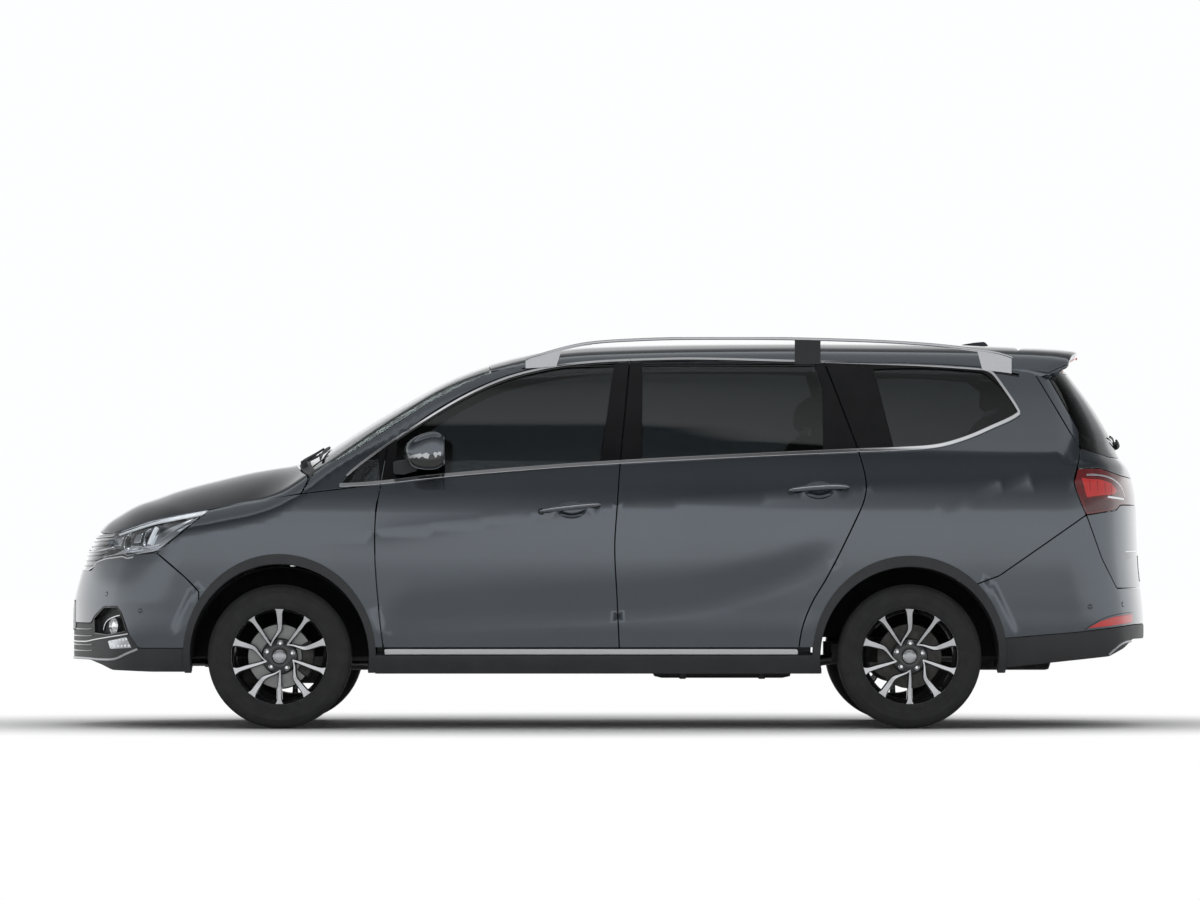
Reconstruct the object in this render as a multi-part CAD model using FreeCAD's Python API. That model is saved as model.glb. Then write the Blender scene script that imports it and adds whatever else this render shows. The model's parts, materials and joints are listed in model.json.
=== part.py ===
"""Seven-seat minivan, full size, standing on its wheels with its doors closed.

X runs from the nose (minus) to the tail (plus), Y to the right side, Z up.
The origin is on the ground under the middle of the body. Millimetres.
"""
import FreeCAD, Part
import math
import os

V = FreeCAD.Vector

# Driving dimensions
SIZES = (
    ("body_length", 4784),
    ("half_width", 890),
    ("roof_height", 1703),
    ("wheelbase", 2750),
    ("front_overhang", 957),
    ("track", 1530),
    ("tyre_radius", 315),
    ("tyre_width", 205),
    ("rim_radius", 218),
    ("rim_width", 176),
    ("hub_radius", 75),
    ("lug_circle_radius", 57.15),
    ("lug_bore_radius", 7),
    ("arch_radius", 392),
    ("arch_lip", 30),
    ("arch_depth", 330),
    ("liner_wall", 6),
    ("door_thickness", 100),
    ("frame_thickness", 46),
    ("panel_thickness", 45),
    ("bumper_thickness", 60),
    ("hood_thickness", 30),
    ("glass_thickness", 5),
    ("glass_inset", 7),
    ("shut_gap", 5.5),
    ("seam_gap", 3),
    ("fit_gap", .3),
    ("door_step", 26),
    ("skin_depth", 14),
    ("hinge_inset", 12),
    ("floor_height", 330),
    ("floor_thickness", 40),
    ("seat_width", 520),
    ("seat_depth", 500),
    ("cushion_height", 130),
    ("seat_back_height", 600),
    ("seat_back_thickness", 120),
    ("seat_height", 640),
    ("steering_wheel_radius", 185),
    ("mirror_reach", 165),
    ("rail_radius", 14),
    ("axle_beam_radius", 42),
    ("fuel_tank_length", 620),
    ("fuel_tank_width", 900),
    ("fuel_tank_height", 190),
    ("engine_length", 520),
    ("engine_width", 760),
    ("engine_height", 560),
    ("exhaust_radius", 28),
    ("silencer_radius", 85),
    ("tow_bore_radius", 9),
    ("rim_lip", 8),
    ("rim_wall", 9),
    ("hub_depth", 38),
    ("spoke_depth", 34),
    ("spoke_width", 30),
    ("centre_bore_radius", 30),
    ("brake_radius", 140),
    ("strut_radius", 25),
    ("tread_crown", 7),
    ("overrun", 60),
)

doc = FreeCAD.newDocument("minivan")
sheet = doc.addObject("Spreadsheet::Sheet", "sizes")
for row, (name, value) in enumerate(SIZES, 1):
    sheet.set("A%d" % row, name)
    sheet.set("B%d" % row, str(value))
    sheet.setAlias("B%d" % row, name)
doc.recompute()


def size(name):
    return float(getattr(sheet, name))


LENGTH = size("body_length")
HALF = size("half_width")
HEIGHT = size("roof_height")
FRONT_AXLE = size("front_overhang") - LENGTH / 2
REAR_AXLE = FRONT_AXLE + size("wheelbase")
WHEEL_Z = size("tyre_radius")
SIDES = (("left", -1), ("right", 1))
GAP = size("shut_gap")
SEAM = size("seam_gap")
FIT = size("fit_gap")
OVERRUN = size("overrun")

# The side view is drawn in pixels, in two scales: the near side and the middle plane
NEAR_LENGTH_px, NEAR_HEIGHT_px, NEAR_MIDDLE_px, NEAR_GROUND_px = 1098.8, 391.1, 608.4, 729.0
MID_LENGTH_px, MID_HEIGHT_px, MID_MIDDLE_px, MID_GROUND_px = 1068.2, 380.25, 607.7, 724.1


def near(px, py):
    """Millimetres X, Z of a point drawn on the near side."""
    return ((px - NEAR_MIDDLE_px) * LENGTH / NEAR_LENGTH_px,
            (NEAR_GROUND_px - py) * HEIGHT / NEAR_HEIGHT_px)


def mid(px, py):
    """Millimetres X, Z of a point drawn on the middle plane."""
    return ((px - MID_MIDDLE_px) * LENGTH / MID_LENGTH_px,
            (MID_GROUND_px - py) * HEIGHT / MID_HEIGHT_px)


def smooth_line(points):
    """A monotone cubic through the points, as a function, straight past its ends."""
    us = [p[0] for p in points]
    vs = [p[1] for p in points]
    last = len(points) - 1
    chords = [(vs[i + 1] - vs[i]) / (us[i + 1] - us[i]) for i in range(last)]
    slopes = [chords[0]]
    for i in range(1, last):
        before, after = chords[i - 1], chords[i]
        slopes.append(0 if before * after <= 0 else 2 * before * after / (before + after))
    slopes.append(chords[-1])

    def value(u):
        if u <= us[0]:
            return vs[0] + slopes[0] * (u - us[0])
        if u >= us[last]:
            return vs[last] + slopes[last] * (u - us[last])
        i = 0
        while us[i + 1] < u:
            i += 1
        step = us[i + 1] - us[i]
        s = (u - us[i]) / step
        rise = vs[i + 1] - vs[i]
        return (vs[i] + step * slopes[i] * s * (1 - s) ** 2 + rise * s * s * (3 - 2 * s)
                - step * slopes[i + 1] * s * s * (1 - s))
    return value


# Lines of the outer body, drawn in pixels of the middle plane
HOOD_LINE_px = ((85, 550), (90, 535), (95, 529), (100, 524), (110, 517), (120, 513), (140, 504), (160, 497),
                (180, 490), (220, 479.5), (260, 470.5), (305, 464), (340, 460))
SCREEN_LINE_px = ((290, 475), (320, 456), (360, 430), (400, 406), (440, 384), (480, 365), (520, 348), (580, 326))
ROOF_LINE_px = ((430, 364), (480, 357), (520, 352.3), (540, 350.2), (600, 346.3), (700, 343.9), (800, 343.3),
                (900, 343.9), (1000, 346.2), (1040, 349.5), (1077, 355.5), (1140, 368))
NOSE_LINE_px = ((112, 500), (98, 520), (90, 535), (85, 550), (80, 566), (75, 589), (73.5, 602), (73.3, 690))
TAIL_LINE_px = ((1043, 345), (1064.2, 370.4), (1077.4, 387.6), (1088.8, 403), (1100, 420.3), (1111, 440),
                (1119.5, 459.7), (1127, 468.4), (1132.5, 483.5), (1135.4, 501), (1136, 520), (1137.5, 560),
                (1139.8, 585), (1141.9, 605.7), (1142.8, 619.7), (1142.9, 690))
BOTTOM_LINE_px = ((73.2, 640), (76, 657), (97, 666.3), (108.2, 671.5), (150, 671), (820, 670.7), (980, 670),
                  (1000, 667), (1080, 659.5), (1112, 656.5), (1130, 648), (1139, 639), (1143, 628))
# Shares of the half width that the side stands in, by shares of the roof height
SIDE_INSET_shares = ((.138, .081), (.194, .038), (.247, .022), (.305, .016), (.352, .011), (.446, .002), (.50, 0),
                     (.558, .003), (.587, .010), (.634, .031), (.699, .065), (.763, .112), (.822, .160),
                     (.881, .213), (.940, .276), (1.0, .35))
# Shares of the half width, by shares of the length
PLAN_WIDTH_shares = ((.0, .87), (.061, .955), (.124, .985), (.2, 1.0), (.27, .985), (.40, .978), (.5, .98),
                     (.65, .985), (.775, 1.0), (.86, .982), (.92, .945), (.96, .905), (1.0, .85))
GLASSHOUSE_TAPER_shares = ((.0, 0), (.5, 0), (.65, .012), (.8, .035), (.9, .06), (1.0, .09))
HOOD_DROP_shares = ((.03, .10), (.08, .157), (.136, .196), (.22, .20), (.3, .20))
SHOULDER_shares = ((.03, .08), (.2, .09), (.26, .06), (.36, .06), (.45, .12), (.8, .12), (1.0, .10))

hood_line = smooth_line([mid(*p) for p in HOOD_LINE_px])
screen_line = smooth_line([mid(*p) for p in SCREEN_LINE_px])
roof_line = smooth_line([mid(*p) for p in ROOF_LINE_px])
bottom_line = smooth_line([mid(*p) for p in BOTTOM_LINE_px])
nose_line = smooth_line([tuple(reversed(mid(*p))) for p in reversed(NOSE_LINE_px)])
tail_line = smooth_line([tuple(reversed(mid(*p))) for p in reversed(TAIL_LINE_px)])
side_inset = smooth_line([(z * HEIGHT, s * HALF) for z, s in SIDE_INSET_shares])
plan_width = smooth_line([(x * LENGTH - LENGTH / 2, s * HALF) for x, s in PLAN_WIDTH_shares])
glasshouse_taper = smooth_line([(x * LENGTH - LENGTH / 2, s * HALF) for x, s in GLASSHOUSE_TAPER_shares])
hood_drop = smooth_line([(x * LENGTH - LENGTH / 2, s * HALF) for x, s in HOOD_DROP_shares])
shoulder = smooth_line([(x * LENGTH - LENGTH / 2, s * HALF) for x, s in SHOULDER_shares])

BELT_share = .70
NOSE_BOW_share, SCREEN_BOW_share, ROOF_CROWN_share = .415, .16, .065
TAIL_BOW_share, TAIL_WRAP_share = .22, .15
HOOD_POWER = 2.3
COWL_share, HEADER_share, NOSE_ROUND_share, TAIL_ROUND_share = .05, .11, .16, .12


def highest(a, b, blend):
    """The larger of two, rounded over where they are within a blend of each other."""
    near_share = max(blend - abs(a - b), 0) / blend
    return max(a, b) + near_share * near_share * blend / 4


def lowest(a, b, blend):
    return -highest(-a, -b, blend)


def outside(x, y, z):
    """About how far a point lies outside the outer body, less than zero inside it."""
    across = abs(y) / HALF
    high = max(0, (z / HEIGHT - BELT_share) / (1 - BELT_share))
    side = abs(y) - plan_width(x) + side_inset(z) + glasshouse_taper(x) * high
    hood = z - hood_line(x) + hood_drop(x) * across ** HOOD_POWER
    screen = (z - screen_line(x - SCREEN_BOW_share * HALF * across * across)) * .85
    roof = z - roof_line(x) + ROOF_CROWN_share * HALF * across * across * 2
    top = highest(roof, lowest(hood, screen, COWL_share * HALF), HEADER_share * HALF)
    nose = nose_line(z) + NOSE_BOW_share * HALF * across * across - x
    wrap = TAIL_BOW_share * across * across + TAIL_WRAP_share * across ** 6
    tail = (x - tail_line(z) + wrap * HALF) * .92
    hull = highest(side, top, shoulder(x))
    hull = highest(hull, nose, NOSE_ROUND_share * HALF)
    return highest(hull, tail, TAIL_ROUND_share * HALF)


def reach(origin, direction, depth, furthest):
    """The distance along a ray at which the body, drawn in by a depth, ends."""
    inner, outer = 0, furthest
    for _ in range(34):
        middle = (inner + outer) / 2
        x, y, z = (o + d * middle for o, d in zip(origin, direction))
        if outside(x, y, z) < -depth:
            inner = middle
        else:
            outer = middle
    return inner


def half_ring(x, depth, floor, count):
    """Points up one side of a cross-section, from the floor to the middle of the top."""
    half = reach((x, 0, floor), (0, 1, 0), depth, HALF * 2)
    top = floor + reach((x, 0, floor), (0, 0, 1), depth, HEIGHT * 2)
    heart = (floor + top) / 2
    low = math.atan2(floor - heart, half)
    points = [(half, floor)]
    for i in range(1, count - 1):
        angle = low + (math.pi / 2 - low) * i / (count - 1)
        far = reach((x, 0, heart), (0, math.cos(angle), math.sin(angle)), depth, HEIGHT * 2)
        points.append((math.cos(angle) * far, heart + math.sin(angle) * far))
    return points + [(0, top)]


def hull(stations, depth, floor_line, count):
    """A closed solid of the body drawn in by a depth: strips ruled between lines that run lengthwise."""
    rings = []
    for x in stations:
        ring = half_ring(x, depth, floor_line(x), count)
        rings.append([V(x, -y, z) for y, z in ring] + [V(x, y, z) for y, z in reversed(ring[:-1])])
    lines = []
    for strip in zip(*rings):
        curve = Part.BSplineCurve()
        curve.interpolate(Points=list(strip))
        lines.append(curve.toShape())
    faces = []
    for first, second in zip(lines, lines[1:] + lines[:1]):
        faces += Part.makeRuledSurface(first, second).Faces
    for ring in (rings[0], rings[-1]):
        faces.append(Part.Face(Part.makePolygon(ring + ring[:1])))
    shell = Part.makeShell(faces)
    shell.sewShape()
    solid = Part.makeSolid(shell)
    if solid.Volume < 0:
        solid.reverse()
    return solid


def spread(start, end, count):
    return [start + (end - start) * i / (count - 1) for i in range(count)]


def crowd(end, run, count):
    """Stations that crowd towards an end and run away from it."""
    return [end + run * (1 - math.cos(math.pi / 2 * i / count)) for i in range(count)]


def outline(*runs, at=near):
    """A closed outline in the XZ plane: runs of points, each run a smooth line through its pixels."""
    return [[at(*p) for p in run] for run in runs]


def grown(runs, distance):
    """The outline moved outwards by a distance, or inwards where it is less than zero."""
    loop = [p for run in runs for p in run[:-1]]
    area = sum(a[0] * b[1] - b[0] * a[1] for a, b in zip(loop, loop[1:] + loop[:1]))
    turn = 1 if area > 0 else -1
    moved = []
    for i, here in enumerate(loop):
        back, ahead = loop[i - 1], loop[(i + 1) % len(loop)]
        normals = []
        for start, end in ((back, here), (here, ahead)):
            dx, dz = end[0] - start[0], end[1] - start[1]
            far = math.hypot(dx, dz)
            normals.append((dz / far * turn, -dx / far * turn))
        share = 1 + normals[0][0] * normals[1][0] + normals[0][1] * normals[1][1]
        moved.append(tuple(here[k] + (normals[0][k] + normals[1][k]) * distance / share for k in (0, 1)))
    result, at = [], 0
    for run in runs:
        last = at + len(run) - 1
        result.append([moved[i % len(moved)] for i in range(at, last + 1)])
        at = last
    return result


def edge_run(points):
    if len(points) == 2:
        return Part.LineSegment(V(*points[0]), V(*points[1])).toShape()
    curve = Part.BSplineCurve()
    curve.interpolate(Points=[V(*p) for p in points])
    return curve.toShape()


def across(runs, start, end):
    """The outline swept across the car, from one Y to another."""
    edges = [edge_run([(x, start, z) for x, z in run]) for run in runs]
    return Part.Face(Part.Wire(edges)).extrude(V(0, end - start, 0))


def both_sides(runs, inner=0):
    """The outline swept across both sides of the car, past the body, from an inner Y outwards."""
    beyond = HALF + OVERRUN * 4
    if not inner:
        return across(runs, -beyond, beyond)
    return across(runs, -beyond, -inner).fuse(across(runs, inner, beyond))



# Outlines, drawn in pixels of the near side
FRONT_DOOR_NOSE_px = ((386.8, 446), (380.5, 482.6), (375.3, 514), (374.6, 556), (378.4, 609), (383, 647.5))
CENTRE_SEAM_px = ((619.4, 647.5), (617.2, 600), (614.8, 548), (617.3, 505.8), (620.4, 461.6), (624.9, 415.7),
                  (630.6, 355.4))
FRONT_DOOR_TOP_px = ((630.6, 355.4), (579.6, 358.6), (541.3, 364.5), (503, 375), (464.8, 392), (426.5, 415),
                     (386.8, 446))
REAR_DOOR_TAIL_px = ((799.5, 647.5), (804, 624), (813.4, 601), (825.4, 581), (837.5, 558.4), (845.5, 542.3),
                     (857.6, 516.9), (864.3, 500.8), (866.9, 486), (864.9, 470), (859.2, 450), (844.9, 410),
                     (826.7, 360.2))
REAR_DOOR_TOP_px = ((826.7, 360.2), (791, 357), (695.7, 353.8), (630.6, 355.4))
FRONT_GLASS_px = (((396, 472.5), (397, 439.5)),
                  ((397, 439.5), (426.5, 420), (464.8, 397), (503, 380), (541, 369.5), (579.6, 363.7), (614, 361.5)),
                  ((614, 361.5), (599.7, 462.5)), ((599.7, 462.5), (437, 474.5), (396, 472.5)))
REAR_GLASS_px = (((642.5, 459.5), (643.6, 361)), ((643.6, 361), (730, 360.5), (816, 364)),
                 ((816, 364), (823.5, 389)), ((823.5, 389), (823.5, 451)), ((823.5, 451), (642.5, 459.5)))
QUARTER_GLASS_px = (((895.6, 447), (877.4, 368)), ((877.4, 368), (929, 366.5), (986, 371)),
                    ((986, 371), (1002, 384), (1016, 402), (1020, 411)),
                    ((1020, 411), (998.3, 421.5), (968.6, 434), (939, 443), (895.6, 447)))
CORNER_GLASS_px = (((349, 484), (357, 465)), ((357, 465), (372, 451.5)), ((372, 451.5), (376, 483)),
                   ((376, 483), (349, 484)))
FENDER_TOP_px = ((209, 509.6), (255, 500.5), (300.4, 493.6), (340, 488.8), (380.4, 483.4))
FENDER_NOSE_px = ((198.2, 591.8), (184.2, 577.2), (155.5, 552.9), (209, 509.6))
HOOD_EDGE_px = ((94, 531.5), (110, 532), (150, 519.5), (208.4, 509), (300.6, 493.5), (315, 467.4), (322, 440))
LAMP_px = ((109.8, 532.6), (150, 520.2), (209, 509.6), (155.5, 552.9), (119.5, 555.3), (95.3, 559))
PILLAR_EDGE_px = ((316, 467.4), (347, 452.8), (388, 427), (426.5, 402.3), (465, 381), (501, 367), (522, 360))
BUMPER_TOP_px = ((198.2, 591.8), (184.2, 577.2), (155.5, 552.9), (119.5, 555.3), (95.3, 559), (50, 561))
TAILGATE_EDGE_px = ((1026.3, 349.8), (1043, 377.3), (1072.8, 430), (1083.2, 447), (1082.6, 456), (1076.2, 480.6),
                    (1079, 492), (1088.4, 514.8), (1104.6, 558.7), (1120.6, 588.6))
TAIL_LAMP_px = ((1080.3, 468.4), (1103.5, 467.8), (1126.7, 474.8), (1160, 480), (1160, 504), (1125.5, 504.4),
                (1120.9, 509.6), (1088.4, 514.8), (1079, 492), (1076.2, 480.6))
REAR_BUMPER_TOP_px = ((960, 592), (981, 583), (1000, 576), (1088.4, 514.8), (1104.6, 558.7), (1120.6, 588.6))
WINDSCREEN_HEAD_px, BELT_px = 487.7, 455.0
FAR_FRONT_px, FAR_REAR_px, FAR_UP_px, FAR_DOWN_px = 30, 1190, 250, 760

NOSE = -LENGTH / 2 + 1
TAIL = LENGTH / 2 - 1
NOSE_RUN = HALF * .38
TAIL_RUN = HALF * .33
RING = 13


def stations(start, end, count):
    """Stations from start to end, crowded where they come to the nose or the tail."""
    front = crowd(NOSE, NOSE_RUN, 7) if start <= NOSE else []
    back = list(reversed(crowd(TAIL, -TAIL_RUN, 7))) if end >= TAIL else []
    first = NOSE + NOSE_RUN * 1.2 if front else start
    last = TAIL - TAIL_RUN * 1.2 if back else end
    return front + spread(first, last, count) + back


def below(x):
    return bottom_line(x) - OVERRUN


def core(start, end, count, depth):
    """The inside of the body: its hull drawn in by a depth, open below."""
    first = max(start, NOSE + depth * 1.4)
    last = min(end, TAIL - depth * 1.4)
    return hull(spread(first, last, count), depth, below, RING)


def polygon(points, at=near):
    return outline(*zip(points, points[1:] + points[:1]), at=at)


def split(shape):
    """The solids of a shape, from the left side of the car to the right."""
    return sorted(shape.Solids, key=lambda solid: solid.CenterOfMass.y)


def main_pair(shape):
    """The two largest solids of a shape, left before right."""
    solids = sorted(shape.Solids, key=lambda solid: -solid.Volume)[:2]
    return sorted(solids, key=lambda solid: solid.CenterOfMass.y)


def wheel_hole(axle, radius, inner):
    """Two cylinders about one axle, from an inner Y outwards, that clear its wheels."""
    reach_out = HALF + OVERRUN * 4
    near_side = Part.makeCylinder(radius, reach_out - inner, V(axle, -reach_out, WHEEL_Z), V(0, 1, 0))
    return near_side.fuse(near_side.mirror(V(), V(0, 1, 0)))


def rear_arc(centre_x, side_x, ahead):
    """A solid in front of a curve across the car, which bows back towards the sides."""
    wide = HALF + OVERRUN
    start, end = V(side_x, -wide, 0), V(side_x, wide, 0)
    bow = Part.Arc(start, V(centre_x, 0, 0), end).toShape()
    corners = [end, V(ahead, wide, 0), V(ahead, -wide, 0), start]
    return Part.Face(Part.Wire([bow] + Part.makePolygon(corners).Edges)).extrude(V(0, 0, HEIGHT * 2))


front_door = outline(FRONT_DOOR_NOSE_px, (FRONT_DOOR_NOSE_px[-1], CENTRE_SEAM_px[0]), CENTRE_SEAM_px,
                     FRONT_DOOR_TOP_px)
rear_door = outline(tuple(reversed(CENTRE_SEAM_px)), (CENTRE_SEAM_px[0], REAR_DOOR_TAIL_px[0]),
                    REAR_DOOR_TAIL_px, REAR_DOOR_TOP_px)
front_glass = outline(*FRONT_GLASS_px)
rear_glass = outline(*REAR_GLASS_px)
quarter_glass = outline(*QUARTER_GLASS_px)
corner_glass = outline(*CORNER_GLASS_px)
fender_foot = ((383, 647.5), (198.2, 647.5))
fender = outline(FENDER_TOP_px, (FENDER_TOP_px[-1], (378.4, 495)), ((378.4, 495), (375.3, 514), (374.6, 556),
                 (378.4, 609), (383, 647.5)), fender_foot,
                 (fender_foot[-1], FENDER_NOSE_px[0]), FENDER_NOSE_px[:3], FENDER_NOSE_px[2:])
hood_side = polygon(((FAR_FRONT_px, 531.5),) + HOOD_EDGE_px + ((322, FAR_UP_px), (FAR_FRONT_px, FAR_UP_px)))
lamp = polygon(LAMP_px)
front_bumper = polygon(BUMPER_TOP_px + ((FAR_FRONT_px, 561), (FAR_FRONT_px, FAR_DOWN_px), (198.2, FAR_DOWN_px)))
tailgate = outline(TAILGATE_EDGE_px, (TAILGATE_EDGE_px[-1], (FAR_REAR_px, 588.6)),
                   ((FAR_REAR_px, 588.6), (FAR_REAR_px, FAR_UP_px)), ((FAR_REAR_px, FAR_UP_px), (1026.3, FAR_UP_px)),
                   ((1026.3, FAR_UP_px), TAILGATE_EDGE_px[0]))
rear_bumper = polygon(REAR_BUMPER_TOP_px + ((FAR_REAR_px, 588.6), (FAR_REAR_px, FAR_DOWN_px), (960, FAR_DOWN_px)))
tail_lamp = polygon(TAIL_LAMP_px)
pillar = polygon(PILLAR_EDGE_px + ((522, FAR_UP_px), (FAR_FRONT_px, FAR_UP_px), (FAR_FRONT_px, 467.4)))

shapes = {}


def glass_layer(start, end, count, pane):
    """Panes that lie in the body's own curve, let in below its skin."""
    inset = size("glass_inset")
    outer = hull(spread(start, end, count), inset, bottom_line, RING)
    inner = hull(spread(start - OVERRUN, end + OVERRUN, count), inset + size("glass_thickness"), below, RING)
    return outer.cut(inner).common(pane)


def make_doors():
    """Four doors, each a skin with a narrower inner frame behind it, and its window cut."""
    upper = Part.makeBox(LENGTH, HALF * 4, HEIGHT, V(-LENGTH / 2, -HALF * 2, near(0, BELT_px)[1]))
    for label, face, pane, start, end in (("front", front_door, front_glass, -1060, 130),
                                          ("rear", rear_door, rear_glass, -10, 1160)):
        outer = hull(spread(start, end, 6), 0, bottom_line, RING)
        thick = core(start - OVERRUN, end + OVERRUN, 5, size("door_thickness"))
        thin = core(start - OVERRUN, end + OVERRUN, 5, size("frame_thickness")).common(upper)
        behind = core(start - OVERRUN, end + OVERRUN, 5, size("skin_depth"))
        rim = both_sides(grown(face, GAP), HALF / 2).cut(both_sides(grown(face, -size("door_step")), HALF / 3))
        doors = outer.common(both_sides(grown(face, -GAP / 2), HALF / 2))
        doors = doors.cut(thick).cut(thin).cut(behind.common(rim)).cut(both_sides(pane))
        panes = glass_layer(start, end, 5, both_sides(grown(pane, -SEAM / 10)))
        for (side, _), door, glass in zip(SIDES, split(doors), main_pair(panes)):
            shapes["%s_door_%s" % (label, side)] = door
            shapes["%s_glass_%s" % (label, side)] = glass


def make_front():
    """Hood, fenders, bumper, lamps and grille: the shell round the engine bay."""
    outer = hull(stations(NOSE, -900, 9), 0, bottom_line, RING)
    inner = core(NOSE, -900 + OVERRUN, 12, size("panel_thickness"))
    thick = core(NOSE, -900 + OVERRUN, 12, size("bumper_thickness"))
    bonnet = core(NOSE, -900 + OVERRUN, 12, size("hood_thickness"))
    cowl = rear_arc(-1385, -1290, NOSE - OVERRUN)
    shapes["hood"] = outer.cut(bonnet).common(both_sides(grown(hood_side, -GAP / 2))).common(cowl)
    arch = wheel_hole(FRONT_AXLE, size("arch_radius"), HALF / 2)
    skin = outer.cut(inner)
    wings = skin.common(both_sides(grown(fender, -FIT / 2), HALF * .6)).cut(arch)
    shapes["front_fenders"] = wings.cut(both_sides(corner_glass)).cut(both_sides(grown(hood_side, GAP / 2)))
    bumper = outer.cut(thick)
    shapes["front_bumper"] = bumper.common(both_sides(grown(front_bumper, -FIT / 2))).cut(arch)
    shapes["headlamps"] = bumper.common(both_sides(grown(lamp, -FIT / 2), HALF * .46))
    mouth = polygon(((FAR_FRONT_px, 533.5), (109, 533.5), (118, 555), (95, 559), (FAR_FRONT_px, 561)))
    centre = Part.makeBox(LENGTH, HALF * .92 - FIT * 2, HEIGHT, V(-LENGTH, -HALF * .46 + FIT, 0))
    shapes["grille"] = bumper.common(across(grown(mouth, -FIT / 2), -HALF, HALF)).common(centre)


def make_shell():
    """Roof, pillars, cowl and rear quarters in one, cut where the doors, glass and lids are."""
    outer = hull(stations(-1420, TAIL, 16), 0, bottom_line, RING)
    upper = Part.makeBox(LENGTH, HALF * 4, HEIGHT, V(-LENGTH / 2, -HALF * 2, near(0, BELT_px)[1]))
    thick = core(-1420 - OVERRUN, TAIL, 12, size("door_thickness"))
    thin = core(-1420 - OVERRUN, TAIL, 12, size("frame_thickness")).common(upper)
    shell = outer.cut(thick).cut(thin)
    shell = shell.cut(both_sides(grown(front_door, GAP / 2))).cut(both_sides(grown(rear_door, GAP / 2)))
    shell = shell.cut(both_sides(quarter_glass)).cut(both_sides(corner_glass))
    shell = shell.cut(both_sides(grown(tailgate, GAP / 2))).cut(both_sides(grown(rear_bumper, FIT / 2)))
    cowl = rear_arc(-1385 + GAP, -1290 + GAP, NOSE - OVERRUN)
    shell = shell.cut(both_sides(grown(hood_side, GAP / 2)).common(cowl))
    shell = shell.cut(both_sides(grown(fender, FIT / 2)))
    shell = shell.cut(wheel_hole(REAR_AXLE, size("arch_radius"), HALF / 2))
    shell = shell.cut(wheel_hole(FRONT_AXLE, size("arch_radius"), HALF / 4))
    screen = screen_pane(0)
    shell = shell.cut(screen)
    sill = near(0, 647.5)[1]
    shell = shell.cut(Part.makeBox(LENGTH, HALF * 4, sill + SEAM, V(-LENGTH / 2, -HALF * 2, -SEAM)))
    shapes["body_shell"] = shell


def screen_pane(narrower):
    """The room of the windscreen: above the pillar edges, behind the cowl, ahead of the roof."""
    base = rear_arc(-1330, -1262, NOSE - OVERRUN)
    head = rear_arc(mid(WINDSCREEN_HEAD_px, 0)[0], mid(WINDSCREEN_HEAD_px + 12, 0)[0], NOSE - OVERRUN)
    return across(grown(pillar, -narrower) if narrower else pillar, -HALF, HALF).common(head).cut(base)


def make_glass():
    shapes["windscreen"] = glass_layer(-1420, -400, 7, screen_pane(SEAM / 10))
    panes = glass_layer(1000, 2000, 5, both_sides(grown(quarter_glass, -SEAM / 10)))
    corners = glass_layer(-1300, -900, 4, both_sides(grown(corner_glass, -SEAM / 10)))
    shapes["fixed_side_glass"] = Part.makeCompound(main_pair(panes) + main_pair(corners))


def make_tail():
    """Tailgate with its glass and lamps, and the rear bumper."""
    outer = hull(stations(1500, TAIL, 6), 0, bottom_line, RING)
    inner = core(1400, TAIL, 9, size("panel_thickness"))
    thick = core(1400, TAIL, 9, size("bumper_thickness"))
    wall = outer.cut(inner)
    gate = wall.common(both_sides(grown(tailgate, -GAP / 2)))
    low, high = mid(0, 456)[1], mid(0, 379)[1]
    corners = [V(0, -HALF * .72, low), V(0, HALF * .72, low), V(0, HALF * .60, high), V(0, -HALF * .60, high)]
    window = Part.Face(Part.makePolygon(corners + corners[:1])).extrude(V(LENGTH, 0, 0))
    lamps = outer.cut(thick).common(both_sides(grown(tail_lamp, -FIT), HALF * .42))
    gate = gate.cut(window).cut(both_sides(tail_lamp, HALF * .42 - FIT))
    shapes["tailgate"] = gate
    shapes["tail_lamps"] = lamps
    pane = Part.makeBox(LENGTH, HALF * 4, HEIGHT, V(0, -HALF * 2, 0))
    inset = size("glass_inset")
    outer_pane = core(1500, TAIL, 9, inset)
    inner_pane = core(1400, TAIL, 9, inset + size("glass_thickness"))
    shapes["tailgate_glass"] = outer_pane.cut(inner_pane).common(window).common(pane)
    bumper = outer.cut(thick).common(both_sides(grown(rear_bumper, -FIT / 2)))
    bumper = bumper.cut(both_sides(grown(tailgate, GAP / 2)))
    shapes["rear_bumper"] = bumper.cut(wheel_hole(REAR_AXLE, size("arch_radius"), HALF / 2))



def largest(solids):
    return max(solids, key=lambda solid: solid.Volume)


def ring_of(centre, radius, tube, axis):
    return Part.makeTorus(radius, tube, centre, axis)


def tube_between(start, end, radius):
    line = V(*end) - V(*start)
    return Part.makeCylinder(radius, line.Length, V(*start), line)


def block(low, high):
    return Part.makeBox(high[0] - low[0], high[1] - low[1], high[2] - low[2], V(*low))


def wheel_hub_y():
    return size("track") / 2


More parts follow.
